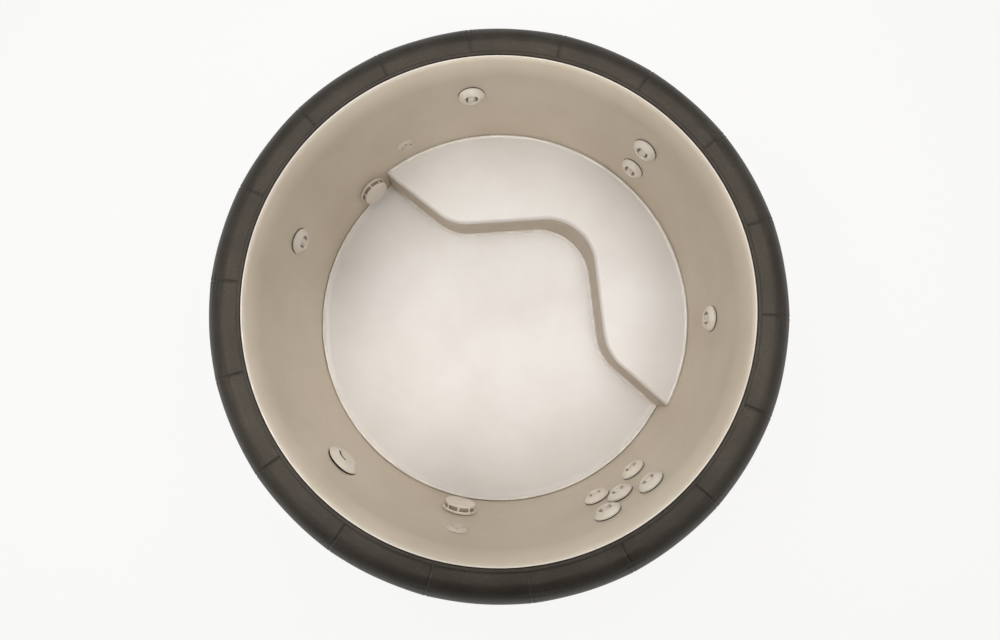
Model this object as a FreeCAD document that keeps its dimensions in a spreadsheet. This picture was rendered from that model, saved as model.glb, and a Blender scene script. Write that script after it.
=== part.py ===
"""Round soft-sided hot tub: foam wall in a vinyl cover, cream liner with a bench, jets and wall plumbing.

Millimetres. The origin is the middle of the ground sheet's underside, Z points up. Angles are counted
from +X towards +Y, seen from above.
"""
import FreeCAD, Part
import math
import os
import re
import Sketcher

SIZES = {
    # Overall shell
    "outer_radius": 977,
    "tub_height": 690,
    "wall_radius": 810,
    "floor_level": 50,
    "ground_thickness": 3,
    "liner_thickness": 2,
    "cover_thickness": 2.5,
    "soft_gap": 0.3,
    # Rounded top of the wall
    "inner_shoulder": 50,
    "outer_shoulder": 85,
    "crown_rise": 6,
    "seam_radius": 842,
    "binding_width": 13,
    "binding_thickness": 1.5,
    # Sewn panels of the cover
    "panel_count": 18,
    "first_seam": 16.3,
    "seam_gap": 1,
    "side_panel_count": 6,
    "welt_level": 560,
    "welt_radius": 4,
    "hem_height": 40,
    "hem_thickness": 1.5,
    # Foam of the wall, with the pipe space between its two layers
    "inner_foam": 54,
    "outer_foam": 29,
    "foam_clearance": 2,
    # Bench, with its corners before they are rounded
    "bench_rise": 135,
    "bench_lean": 12,
    "bench_round": 12,
    "bench_skin": 2,
    "bench_start_x": -640,
    "bench_start_y": 733,
    "bench_knee_x": -211,
    "bench_knee_y": 390,
    "bench_bay_x": 388,
    "bench_bay_y": 429,
    "bench_foot_x": 450,
    "bench_foot_y": -168,
    "bench_end_x": 820,
    "bench_end_y": -497,
    "bench_knee_bend": 200,
    "bench_bay_bend": 200,
    "bench_foot_bend": 220,
    "bench_bay_sweep": 40,
    # Jets
    "jet_face_radius": 50,
    "jet_face_thickness": 17,
    "face_edge": 3,
    "face_lip": 2,
    "face_dome": 40,
    "recess_bevel": 5,
    "skirt_depth": 18,
    "jet_recess_radius": 24,
    "jet_bore_radius": 30,
    "jet_flange_radius": 42,
    "jet_flange_thickness": 3,
    "gasket_thickness": 2.5,
    "gasket_setback": 2,
    "barrel_wall": 4,
    "barrel_depth": 50,
    "nut_wall": 14,
    "nut_thickness": 12,
    "nut_sides": 8,
    "nozzle_width": 26,
    "nozzle_thickness": 6,
    "nozzle_ball_radius": 9,
    "nozzle_hole_radius": 4,
    "nozzle_pin_radius": 2.5,
    "nozzle_depth": 15.5,
    "pin_end": 2,
    "turning_gap": 0.3,
    "pin_gap": 0.08,
    # Hose ends behind the wall fittings
    "pipe_depth": 74,
    "pipe_tilt": 20,
    "rear_radius": 24,
    "rear_wall": 4,
    "barb_radius": 8,
    "barb_length": 14,
    "hose_wall": 3,
    "hose_setback": 1,
    "pipe_wall": 2.5,
    # Ring mains in the pipe space, a little behind the fittings' own pipe axes
    "ring_offset": 7,
    "water_ring_level": 100,
    "water_ring_tube": 20,
    "air_ring_drop": 12,
    "air_ring_tube": 10,
    # Suction line behind the rings
    "suction_level": 330,
    "suction_tube": 16,
    "suction_depth": 110,
    "suction_barb_radius": 12,
    "suction_barb_length": 20,
    # Strainers
    "strainer_radius": 67,
    "strainer_drum_radius": 60,
    "strainer_depth": 36,
    "strainer_wall": 3,
    "strainer_round": 4,
    "strainer_crown": 1.5,
    "strainer_lip": 8,
    "strainer_slot_count": 8,
    "strainer_slot_width": 39,
    "strainer_slot_height": 15,
    "strainer_slot_level": 3,
    "strainer_flange_radius": 46,
    "strainer_bore_radius": 23,
    # Small outlets
    "outlet_radius": 42,
    "outlet_thickness": 3,
    "outlet_edge_level": 1.6,
    "outlet_slope": 12,
    "outlet_setback": 9,
    "outlet_bore_radius": 24,
    "outlet_hole_radius": 4.5,
    "outlet_hole_circle": 19,
    "outlet_hole_count": 3,
    # Return
    "return_radius": 66,
    "return_flange_radius": 54,
    "return_thickness": 6.2,
    "return_bevel": 12,
    "hood_rise": 4,
    "hood_wall": 3,
    "mouth_radius": 23,
    "mouth_drop": 13,
    # Couplings and drain on the outside
    "coupling_angle": 197,
    "coupling_rim": 26,
    "coupling_plate": 6,
    "coupling_length": 34,
    "coupling_grip": 27,
    "port_radius": 25,
    "stub_radius": 14,
    "air_port_level": 450,
    "air_port_radius": 12.5,
    "air_stub_radius": 8,
    "air_drop_offset": 11,
    "air_drop_radius": 9,
    "drain_angle": 210,
    "valve_radius": 20,
    "valve_length": 54,
    "drain_port_radius": 13,
    "drain_port_length": 25,
    "stem_radius": 5,
    "stem_boss_radius": 9,
    "stem_boss_height": 32,
    "handle_hub_radius": 12,
    "handle_hub_height": 9,
    "handle_length": 72,
    "handle_width": 14,
    "handle_thickness": 5,
}

# Where each fitting's middle lies on the wall: angle in degrees, height above the ground
PLACES = {
    "jet_1": (97.4, 505),
    "jet_2": (46.9, 493),
    "jet_3": (47.1, 324),
    "jet_4": (357.2, 409),
    "jet_5": (161.3, 430),
    "jet_6": (310.2, 544),
    "jet_7": (309.9, 335),
    "jet_8": (302.9, 447),
    "jet_9": (297.5, 350),
    "jet_10": (297.4, 540),
    "strainer_1": (135, 150),
    "strainer_2": (258.5, 243),
    "outlet_1": (119.1, 290),
    "outlet_2": (259.4, 460),
    "return": (224.7, 431),
}

JETS = [name for name in PLACES if name.startswith("jet")]
STRAINERS = [name for name in PLACES if name.startswith("strainer")]
OUTLETS = [name for name in PLACES if name.startswith("outlet")]

DOCUMENT = FreeCAD.newDocument("soft_sided_tub")
SHEET = DOCUMENT.addObject("Spreadsheet::Sheet", "Sizes")
NODES = []
AXIS_X = FreeCAD.Vector(1, 0, 0)
AXIS_Y = FreeCAD.Vector(0, 1, 0)
AXIS_Z = FreeCAD.Vector(0, 0, 1)
# How far joined solids run into each other
BITE = 0.5


def fill_sheet():
    """Write every size and place into its own named cell."""
    cells = dict(SIZES)
    for name, (angle, height) in PLACES.items():
        cells[name + "_angle"] = angle
        cells[name + "_height"] = height
    for row, (name, value) in enumerate(cells.items(), start=1):
        SHEET.set("A%d" % row, name)
        SHEET.set("B%d" % row, str(value))
        SHEET.setAlias("B%d" % row, name)
    DOCUMENT.recompute()


def formula(text):
    """Turn size names in a formula into references to their cells; functions and pi keep their names."""
    return re.sub(r"\b(?!pi\b)[a-z]\w*\b(?!\()", r"Sizes.\g<0>", text)


def number(text):
    """Value of a formula of size names."""
    return float(SHEET.evalExpression(formula(text)))


def keep(thing, label):
    """Name a finished sub-part and put it on the list of nodes."""
    thing.Label = label
    NODES.append(thing)
    return thing


def origin_part(body, role):
    """One of a body's own origin planes or axes."""
    return [part for part in body.Origin.OriginFeatures if part.Role == role][0]


def pin_corner(sketch, piece, corner):
    """Hold the start of a sketch line or the named end of an arc at a corner given by formulas."""
    index, end = piece
    for kind, axis, text in (("DistanceX", -2, corner[0]), ("DistanceY", -1, corner[1])):
        value = number(text)
        if value == 0:
            sketch.addConstraint(Sketcher.Constraint("PointOnObject", index, end, axis))
            continue
        held = sketch.addConstraint(Sketcher.Constraint(kind, -1, 1, index, end, value))
        sketch.setExpression("Constraints[%d]" % held, formula(text))


def draw_outline(sketch, corners):
    """Draw a closed outline of lines and arcs.

    A corner is (x, y), or (x, y, radius, side) when the run that leaves it is an arc: side is 1 for an
    arc that turns left and -1 for one that turns right.
    """
    starts = []
    ends = []
    for corner, following in zip(corners, corners[1:] + corners[:1]):
        first = FreeCAD.Vector(number(corner[0]), number(corner[1]), 0)
        last = FreeCAD.Vector(number(following[0]), number(following[1]), 0)
        if len(corner) == 2:
            index = sketch.addGeometry(Part.LineSegment(first, last), False)
            starts.append((index, 1))
            ends.append((index, 2))
            continue
        radius = number(corner[2])
        side = corner[3]
        chord = last - first
        rise = math.sqrt(radius ** 2 - chord.Length ** 2 / 4)
        across = FreeCAD.Vector(-chord.y, chord.x, 0).normalize()
        centre = (first + last) * 0.5 + across * rise * side
        circle = Part.Circle(centre, AXIS_Z, radius)
        turn = (first, last) if side > 0 else (last, first)
        begin, finish = (math.atan2(p.y - centre.y, p.x - centre.x) for p in turn)
        index = sketch.addGeometry(Part.ArcOfCircle(circle, begin, finish), False)
        starts.append((index, 1 if side > 0 else 2))
        ends.append((index, 2 if side > 0 else 1))
    for end, start in zip(ends, starts[1:] + starts[:1]):
        sketch.addConstraint(Sketcher.Constraint("Coincident", *end, *start))
    for start, corner in zip(starts, corners):
        pin_corner(sketch, start, corner)
        if len(corner) > 2:
            held = sketch.addConstraint(Sketcher.Constraint("Radius", start[0], number(corner[2])))
            sketch.setExpression("Constraints[%d]" % held, formula(corner[2]))


def sketch_on(body, role, name, corners):
    """A closed outline on one of a body's origin planes."""
    sketch = body.newObject("Sketcher::SketchObject", name)
    sketch.AttachmentSupport = (origin_part(body, role), [""])
    sketch.MapMode = "FlatFace"
    draw_outline(sketch, corners)
    return sketch


def turned(name, corners, angle=None, copies=None):
    """A body turned about Z from a section of (radius, height) corners, in part or in equal copies."""
    body = DOCUMENT.addObject("PartDesign::Body", name)
    section = sketch_on(body, "XZ_Plane", name + "_section", corners)
    turn = body.newObject("PartDesign::Revolution", name + "_turn")
    turn.Profile = section
    turn.ReferenceAxis = (section, ["V_Axis"])
    turn.Midplane = True
    turn.Angle = 360
    if angle:
        turn.setExpression("Angle", formula(angle))
    if copies:
        pattern = body.newObject("PartDesign::PolarPattern", name + "_panels")
        pattern.Originals = [turn]
        pattern.Axis = (origin_part(body, "Z_Axis"), [""])
        pattern.Angle = 360
        pattern.setExpression("Occurrences", formula(copies))
        body.Tip = pattern
    return body


def primitive(kind, name, place=None, turn=None, **sizes):
    """A Part primitive whose sizes are formulas; place holds formulas for its base point."""
    thing = DOCUMENT.addObject("Part::" + kind, name)
    for key, text in sizes.items():
        thing.setExpression(key, formula(text))
    if turn:
        thing.Placement = FreeCAD.Placement(FreeCAD.Vector(), turn)
    for axis, text in (place or {}).items():
        thing.setExpression("Placement.Base." + axis, formula(text))
    return thing


def cut(name, base, tool):
    """Base with the tool taken out of it."""
    thing = DOCUMENT.addObject("Part::Cut", name)
    thing.Base = base
    thing.Tool = tool
    return thing


def fuse(name, pieces):
    """Several solids made into one."""
    thing = DOCUMENT.addObject("Part::MultiFuse", name)
    thing.Shapes = pieces
    return thing


def common(name, pieces):
    """What several solids share."""
    thing = DOCUMENT.addObject("Part::MultiCommon", name)
    thing.Shapes = pieces
    return thing


def coded(name, shape):
    """A document object for a shape worked out below."""
    thing = DOCUMENT.addObject("Part::Feature", name)
    thing.Shape = shape
    return thing


def wall_place(name):
    """Frame of a wall fitting: on the liner's face, Z towards the tub's middle and Y up."""
    turn = FreeCAD.Rotation(AXIS_Z, number(name + "_angle"))
    facing = FreeCAD.Rotation(-AXIS_Y, AXIS_Z, -AXIS_X, "ZYX")
    spot = turn.multVec(FreeCAD.Vector(number("wall_radius"), 0, number(name + "_height")))
    return FreeCAD.Placement(spot, turn.multiply(facing))


def placed(master, names):
    """Copies of one fitting at each of its places on the wall."""
    copies = []
    for name in names:
        shape = master.Shape.copy()
        shape.Placement = wall_place(name).multiply(shape.Placement)
        copies.append(shape)
    return Part.makeCompound(copies)


def rod(start, end, radius):
    """Round rod from one point to another."""
    run = end - start
    return Part.makeCylinder(radius, run.Length, start, run)


def outward(angle, radius, height):
    """Point at an angle, a distance from the middle and a height."""
    return FreeCAD.Rotation(AXIS_Z, angle).multVec(FreeCAD.Vector(radius, 0, height))


# Levels and radii that several pieces share, as formulas of the sizes

RIM_BASE = "tub_height - crown_rise - inner_shoulder"
SHELF = "floor_level - liner_thickness"
LINER_BACK = "wall_radius + liner_thickness"
FOAM_FRONT = "wall_radius + liner_thickness + soft_gap"
FOAM_BACK = "outer_radius - cover_thickness - soft_gap"
INNER_AXIS = "wall_radius + inner_shoulder"
OUTER_AXIS = "outer_radius - outer_shoulder"
OUTER_LEVEL = "tub_height - outer_shoulder"


def on_inner_shoulder(radius, reach):
    """Corner on a circle about the inner shoulder's axis, in line with the point at a given reach."""
    out = "(%s - (%s)) / inner_shoulder" % (INNER_AXIS, reach)
    x = "%s - (%s) * (%s)" % (INNER_AXIS, radius, out)
    y = "%s + (%s) * sqrt(1 - (%s)^2)" % (RIM_BASE, radius, out)
    return x, y


def base_layers():
    """Ground sheet and base foam, two discs under everything else."""
    sheet = primitive("Cylinder", "ground_sheet", Radius=FOAM_BACK, Height="ground_thickness")
    keep(sheet, "ground_sheet")
    foam = primitive(
        "Cylinder",
        "base_foam",
        place={"z": "ground_thickness"},
        Radius=FOAM_BACK,
        Height="%s - ground_thickness" % SHELF,
    )
    keep(foam, "base_foam")


def panel_turn(body):
    """Turn a panelled body so that its seams stand at the measured angles."""
    body.setExpression("Placement.Rotation.Angle", formula("first_seam + 180 / panel_count"))
    body.Placement.Rotation.Axis = AXIS_Z


def seam_angle(count):
    """Angle that one panel or block covers, less the seam."""
    return "360 / %s - seam_gap / outer_radius * 180 / pi" % count


def foam_wall(holes, pipes):
    """Two rings of curved foam blocks, one block to each rim panel, with the pipe space between."""
    back = "%s + inner_foam" % FOAM_FRONT
    inner = turned(
        "inner_blocks",
        [(FOAM_FRONT, SHELF), (back, SHELF), (back, RIM_BASE), (FOAM_FRONT, RIM_BASE)],
        angle=seam_angle("panel_count"),
        copies="panel_count",
    )
    panel_turn(inner)
    keep(cut("inner_foam_blocks", inner, holes), "inner_foam_blocks")
    front = "%s - outer_foam" % FOAM_BACK
    bend = "outer_shoulder - cover_thickness - soft_gap"
    top = "%s + sqrt((%s)^2 - (%s - (%s))^2)" % (OUTER_AXIS, bend, RIM_BASE, OUTER_LEVEL)
    outer = turned(
        "outer_blocks",
        [
            (front, SHELF),
            (FOAM_BACK, SHELF),
            (FOAM_BACK, OUTER_LEVEL, bend, 1),
            (top, RIM_BASE),
            (front, RIM_BASE),
        ],
        angle=seam_angle("panel_count"),
        copies="panel_count",
    )
    panel_turn(outer)
    keep(cut("outer_foam_blocks", outer, pipes), "outer_foam_blocks")


def rim_cushions():
    """Foam cushions that round off the top of the wall, one to each rim panel."""
    small = "inner_shoulder - max(liner_thickness; cover_thickness) - soft_gap"
    bend = "outer_shoulder - cover_thickness - soft_gap"
    back = "%s + sqrt((%s)^2 - (%s - (%s))^2)" % (OUTER_AXIS, bend, RIM_BASE, OUTER_LEVEL)
    body = turned(
        "rim_cushions",
        [
            ("%s - (%s)" % (INNER_AXIS, small), RIM_BASE),
            (back, RIM_BASE, bend, 1),
            (OUTER_AXIS, "tub_height - cover_thickness - soft_gap"),
            (INNER_AXIS, "%s + %s" % (RIM_BASE, small), small, 1),
        ],
        angle=seam_angle("panel_count"),
        copies="panel_count",
    )
    panel_turn(body)
    keep(body, "rim_cushions")


def rim_cover():
    """Eighteen sewn vinyl panels over the rim, with the binding at their inner edge."""
    edge = "seam_radius + soft_gap"
    back = "inner_shoulder - cover_thickness"
    body = turned(
        "rim_cover",
        [
            ("outer_radius - cover_thickness", "welt_level + welt_radius + soft_gap"),
            ("outer_radius", "welt_level + welt_radius + soft_gap"),
            ("outer_radius", OUTER_LEVEL, "outer_shoulder", 1),
            (OUTER_AXIS, "tub_height"),
            (INNER_AXIS, "%s + inner_shoulder" % RIM_BASE, "inner_shoulder", 1),
            on_inner_shoulder("inner_shoulder", edge),
            on_inner_shoulder(back, edge) + (back, -1),
            (INNER_AXIS, "%s + %s" % (RIM_BASE, back)),
            (OUTER_AXIS, "tub_height - cover_thickness", "outer_shoulder - cover_thickness", -1),
            ("outer_radius - cover_thickness", OUTER_LEVEL),
        ],
        angle=seam_angle("panel_count"),
        copies="panel_count",
    )
    panel_turn(body)
    keep(body, "rim_cover")
    inside = "inner_shoulder + soft_gap"
    outside = "inner_shoulder + soft_gap + binding_thickness"
    near = "seam_radius + soft_gap"
    far = "seam_radius + binding_width"
    binding = turned(
        "rim_binding",
        [
            on_inner_shoulder(inside, near) + (inside, -1),
            on_inner_shoulder(inside, far),
            on_inner_shoulder(outside, far) + (outside, 1),
            on_inner_shoulder(outside, near),
        ],
    )
    keep(binding, "rim_binding")


def side_cover(pipes):
    """Side panels under the rim, the welt between them and the rim cover, and the hem at the ground."""
    body = turned(
        "side_panels",
        [
            ("outer_radius - cover_thickness", "ground_thickness"),
            ("outer_radius", "ground_thickness"),
            ("outer_radius", "welt_level - welt_radius - soft_gap"),
            ("outer_radius - cover_thickness", "welt_level - welt_radius - soft_gap"),
        ],
        angle=seam_angle("side_panel_count"),
        copies="side_panel_count",
    )
    body.setExpression("Placement.Rotation.Angle", formula("first_seam + 180 / side_panel_count"))
    body.Placement.Rotation.Axis = AXIS_Z
    keep(cut("side_cover", body, pipes), "side_cover")
    welt = primitive(
        "Torus",
        "welt_torus",
        place={"z": "welt_level"},
        Radius1="outer_radius - cover_thickness + soft_gap + welt_radius / 2",
        Radius2="welt_radius",
    )
    foam = primitive("Cylinder", "welt_inside", Radius=FOAM_BACK + " + soft_gap", Height="tub_height")
    keep(cut("rim_welt_cord", welt, foam), "rim_welt")
    hem = turned(
        "side_hem",
        [
            ("outer_radius + soft_gap", "ground_thickness"),
            ("outer_radius + soft_gap + hem_thickness", "ground_thickness"),
            ("outer_radius + soft_gap + hem_thickness", "ground_thickness + hem_height"),
            ("outer_radius + soft_gap", "ground_thickness + hem_height"),
        ],
    )
    keep(hem, "side_hem")


def liner(holes):
    """Liner wall turned out over the rim cushions, and the liner floor inside it."""
    back = "inner_shoulder - liner_thickness"
    wall = turned(
        "liner_tube",
        [
            ("wall_radius", SHELF),
            (LINER_BACK, SHELF),
            (LINER_BACK, RIM_BASE, back, -1),
            on_inner_shoulder(back, "seam_radius"),
            on_inner_shoulder("inner_shoulder", "seam_radius") + ("inner_shoulder", 1),
            ("wall_radius", RIM_BASE),
        ],
    )
    keep(cut("liner_wall", wall, holes), "liner_wall")
    floor = primitive(
        "Cylinder",
        "liner_floor",
        place={"z": SHELF},
        Radius="wall_radius - soft_gap",
        Height="liner_thickness",
    )
    keep(floor, "liner_floor")


def shifted_corners(points, shift):
    """Corners of an open path whose runs are moved sideways, to the left of its direction."""
    runs = []
    for first, last in zip(points, points[1:]):
        ahead = (last - first).normalize()
        side = FreeCAD.Vector(-ahead.y, ahead.x, 0) * shift
        runs.append((first + side, last + side))
    corners = [runs[0][0]]
    for (a, b), (c, d) in zip(runs, runs[1:]):
        along = b - a
        other = d - c
        share = (c - a).cross(other).z / along.cross(other).z
        corners.append(a + along * share)
    corners.append(runs[-1][1])
    return corners


def rounded_edges(points, bends, height):
    """Lines and arcs along a path whose inner corners are rounded by the given radii."""
    edges = []
    lift = AXIS_Z * height
    last = points[0]
    for before, corner, after, bend in zip(points, points[1:], points[2:], bends):
        back = (before - corner).normalize()
        ahead = (after - corner).normalize()
        half = math.acos(back.dot(ahead)) / 2
        reach = bend / math.tan(half)
        start = corner + back * reach
        end = corner + ahead * reach
        middle = (back + ahead).normalize()
        crown = corner + middle * (bend / math.sin(half) - bend)
        edges.append(Part.LineSegment(last + lift, start + lift).toShape())
        edges.append(Part.Arc(start + lift, crown + lift, end + lift).toShape())
        last = end
    edges.append(Part.LineSegment(last + lift, points[-1] + lift).toShape())
    return edges


def bench_block(inset):
    """The bench as one solid, taken in by inset on its front and its top."""
    path = [
        FreeCAD.Vector(number("bench_%s_x" % part), number("bench_%s_y" % part), 0)
        for part in ("start", "knee", "bay", "foot", "end")
    ]
    beyond = 2 * number("outer_radius")
    closing = [FreeCAD.Vector(beyond, path[-1].y, 0), FreeCAD.Vector(beyond, beyond, 0)]
    closing.append(FreeCAD.Vector(path[0].x, beyond, 0))
    levels = []
    top = number("floor_level + bench_rise") - inset
    for shift, sweep, height in (
        (inset, number("bench_bay_sweep"), number("floor_level")),
        (inset + number("bench_lean"), 0, top),
    ):
        corners = shifted_corners(path, shift)
        bends = [
            number("bench_knee_bend") - shift,
            number("bench_bay_bend") + shift + sweep,
            number("bench_foot_bend") - shift,
        ]
        edges = rounded_edges(corners, bends, height)
        lift = AXIS_Z * height
        round_trip = [corners[-1]] + closing + [corners[0]]
        for first, last in zip(round_trip, round_trip[1:]):
            edges.append(Part.LineSegment(first + lift, last + lift).toShape())
        levels.append(Part.Wire(edges))
    block = Part.makeLoft(levels, True, True)
    front = []
    for edge in block.Edges:
        if edge.BoundBox.ZMin < top - BITE:
            continue
        middle = edge.CenterOfMass
        if max(abs(middle.x), abs(middle.y)) < number("outer_radius"):
            front.append(edge)
    block = block.makeFillet(number("bench_round") - inset, front)
    room = Part.makeCylinder(number("wall_radius - soft_gap"), number("tub_height"))
    return block.common(room).Solids[0]


def bench():
    """Foam bench on the floor, and the vinyl skin over its top and front."""
    skin = number("bench_skin")
    keep(coded("bench_foam", bench_block(skin + number("soft_gap"))), "bench_foam")
    keep(coded("bench_skin", bench_block(0).cut(bench_block(skin)).Solids[0]), "bench_skin")


def fitting_body(name, bore, flange, ports, rear, depth, barb, reach):
    """Body of a wall fitting, about its own axis: flange, barrel through the liner, and hose ends.

    Ports holds the directions of its hose ends: 1 for up and -1 for down along the tilted pipe line.
    """
    front = "gasket_thickness"
    barrel = "%s + barrel_wall" % bore
    end = "-(%s + %s)" % (depth, rear)
    sections = [
        (bore, "%s + jet_flange_thickness" % front),
        (bore, "-(barrel_depth - barrel_wall)"),
        ("%s - rear_wall" % rear, "-(barrel_depth - barrel_wall)"),
        ("%s - rear_wall" % rear, "%s + rear_wall" % end),
        ("0", "%s + rear_wall" % end),
        ("0", end),
        (rear, end),
        (rear, "-barrel_depth"),
        (barrel, "-barrel_depth"),
        (barrel, front),
        (flange, front),
        (flange, "%s + jet_flange_thickness" % front),
    ]
    pieces = [turned(name + "_barrel", sections)]
    bores = []
    tilt = number("pipe_tilt") if barb == "barb_radius" else 0
    seat = number("%s - rear_wall" % rear) + BITE
    for way in ports:
        ahead = FreeCAD.Rotation(AXIS_Z, tilt).multVec(AXIS_Y) * way
        axis = FreeCAD.Vector(0, 0, -number(depth))
        turn = FreeCAD.Rotation(AXIS_Z, ahead)
        pipe = primitive(
            "Cylinder",
            "%s_barb_%d" % (name, way + 1),
            Radius=barb,
            Height="rear_wall + %s" % reach,
        )
        pipe.Placement = FreeCAD.Placement(axis + ahead * seat, turn)
        pieces.append(pipe)
        bore = primitive(
            "Cylinder",
            "%s_bore_%d" % (name, way + 1),
            Radius="%s - pipe_wall" % barb,
            Height="2 * (%s) + %s" % (rear, reach),
        )
        bore.Placement = FreeCAD.Placement(axis, turn)
        bores.append(bore)
    solid = fuse(name + "_solid", pieces)
    tool = bores[0] if len(bores) == 1 else fuse(name + "_bores", bores)
    return cut(name + "_fitting", solid, tool)


def fitting_gasket(name, barrel, radius):
    """Gasket under a fitting's flange, with its back shaped to the liner."""
    disc = primitive(
        "Cylinder",
        name + "_disc",
        place={"z": "-gasket_thickness"},
        Radius=radius,
        Height="2 * gasket_thickness",
    )
    inside = primitive(
        "Cylinder",
        name + "_liner",
        place={"y": "tub_height / 2", "z": "wall_radius"},
        turn=FreeCAD.Rotation(AXIS_X, 90),
        Radius="wall_radius - soft_gap",
        Height="tub_height",
    )
    hole = primitive(
        "Cylinder",
        name + "_hole",
        place={"z": "-2 * gasket_thickness"},
        Radius="%s + soft_gap" % barrel,
        Height="4 * gasket_thickness",
    )
    return cut(name, common(name + "_pad", [disc, inside]), hole)


def fitting_nut(name, barrel):
    """Flat-sided nut that clamps a fitting to the liner from behind."""
    block = primitive(
        "Prism",
        name + "_block",
        place={"z": "-(liner_thickness + soft_gap + nut_thickness)"},
        Circumradius="%s + nut_wall" % barrel,
        Height="nut_thickness",
        Polygon="nut_sides",
    )
    hole = primitive(
        "Cylinder",
        name + "_hole",
        place={"z": "-2 * (liner_thickness + nut_thickness)"},
        Radius="%s + soft_gap" % barrel,
        Height="4 * (liner_thickness + nut_thickness)",
    )
    return cut(name, block, hole)


JET_BARREL = "jet_bore_radius + barrel_wall"
STRAINER_BARREL = "strainer_bore_radius + barrel_wall"
OUTLET_BARREL = "outlet_bore_radius + barrel_wall"
FACE_BACK = "gasket_thickness + jet_flange_thickness + turning_gap"


def jets():
    """Ten jets: fixed bodies, gaskets and nuts, then each jet's turning face and swinging nozzle."""
    body = fitting_body(
        "jet", "jet_bore_radius", "jet_flange_radius", (1, -1), "rear_radius", "pipe_depth",
        "barb_radius", "barb_length"
    )
    gasket = fitting_gasket("jet_gasket", JET_BARREL, "jet_flange_radius - gasket_setback")
    nut = fitting_nut("jet_nut", JET_BARREL)
    face = jet_face()
    nozzle = jet_nozzle()
    DOCUMENT.recompute()
    keep(coded("jet_gaskets", placed(gasket, JETS)), "jet_gaskets")
    keep(coded("jet_bodies", placed(body, JETS)), "jet_bodies")
    keep(coded("jet_nuts", placed(nut, JETS)), "jet_nuts")
    for order, name in enumerate(JETS, start=1):
        keep(coded("jet_face_%d" % order, placed(face, [name]).Solids[0]), "jet_face_%d" % order)
        keep(coded("jet_nozzle_%d" % order, placed(nozzle, [name]).Solids[0]), "jet_nozzle_%d" % order)


def jet_face():
    """Domed jet face with a skirt that turns in the body's bore and a recess for the nozzle."""
    front = "%s + jet_face_thickness" % FACE_BACK
    edge = "jet_face_radius"
    skirt = "jet_bore_radius - turning_gap"
    disc = turned(
        "face_disc",
        [
            ("jet_recess_radius", "-skirt_depth"),
            (skirt, "-skirt_depth"),
            (skirt, FACE_BACK),
            ("%s - face_lip" % edge, FACE_BACK),
            (edge, "%s + face_lip" % FACE_BACK, "face_edge", 1),
            ("%s - face_edge" % edge, "%s + face_lip + face_edge" % FACE_BACK, "face_dome", 1),
            ("jet_recess_radius + recess_bevel", front),
            ("jet_recess_radius", "%s - recess_bevel / 2" % front),
        ],
    )
    hole = primitive(
        "Cylinder",
        "face_pin_hole",
        place={"y": "jet_bore_radius - pin_end / 2", "z": "nozzle_depth"},
        turn=FreeCAD.Rotation(AXIS_X, 90),
        Radius="nozzle_pin_radius + pin_gap",
        Height="2 * jet_bore_radius - pin_end",
    )
    return cut("jet_face", disc, hole)


def jet_nozzle():
    """Nozzle bar with a small ball outlet, swinging on two pins."""
    plate = primitive(
        "Cylinder",
        "nozzle_plate",
        place={"z": "nozzle_depth - nozzle_thickness / 2"},
        Radius="jet_recess_radius - 2 * turning_gap",
        Height="nozzle_thickness",
    )
    bar = primitive(
        "Box",
        "nozzle_bar",
        place={
            "x": "-nozzle_width / 2",
            "y": "-jet_recess_radius",
            "z": "nozzle_depth - nozzle_thickness / 2",
        },
        Length="nozzle_width",
        Width="2 * jet_recess_radius",
        Height="nozzle_thickness",
    )
    ball = primitive("Sphere", "nozzle_ball", place={"z": "nozzle_depth"}, Radius="nozzle_ball_radius")
    pin = primitive(
        "Cylinder",
        "nozzle_pin",
        place={"y": "jet_bore_radius - pin_end", "z": "nozzle_depth"},
        turn=FreeCAD.Rotation(AXIS_X, 90),
        Radius="nozzle_pin_radius",
        Height="2 * (jet_bore_radius - pin_end)",
    )
    hole = primitive(
        "Cylinder",
        "nozzle_hole",
        place={"z": "nozzle_depth - 2 * nozzle_ball_radius"},
        Radius="nozzle_hole_radius",
        Height="4 * nozzle_ball_radius",
    )
    whole = fuse("nozzle_whole", [common("nozzle_strip", [plate, bar]), ball, pin])
    return cut("jet_nozzle", whole, hole)


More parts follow.
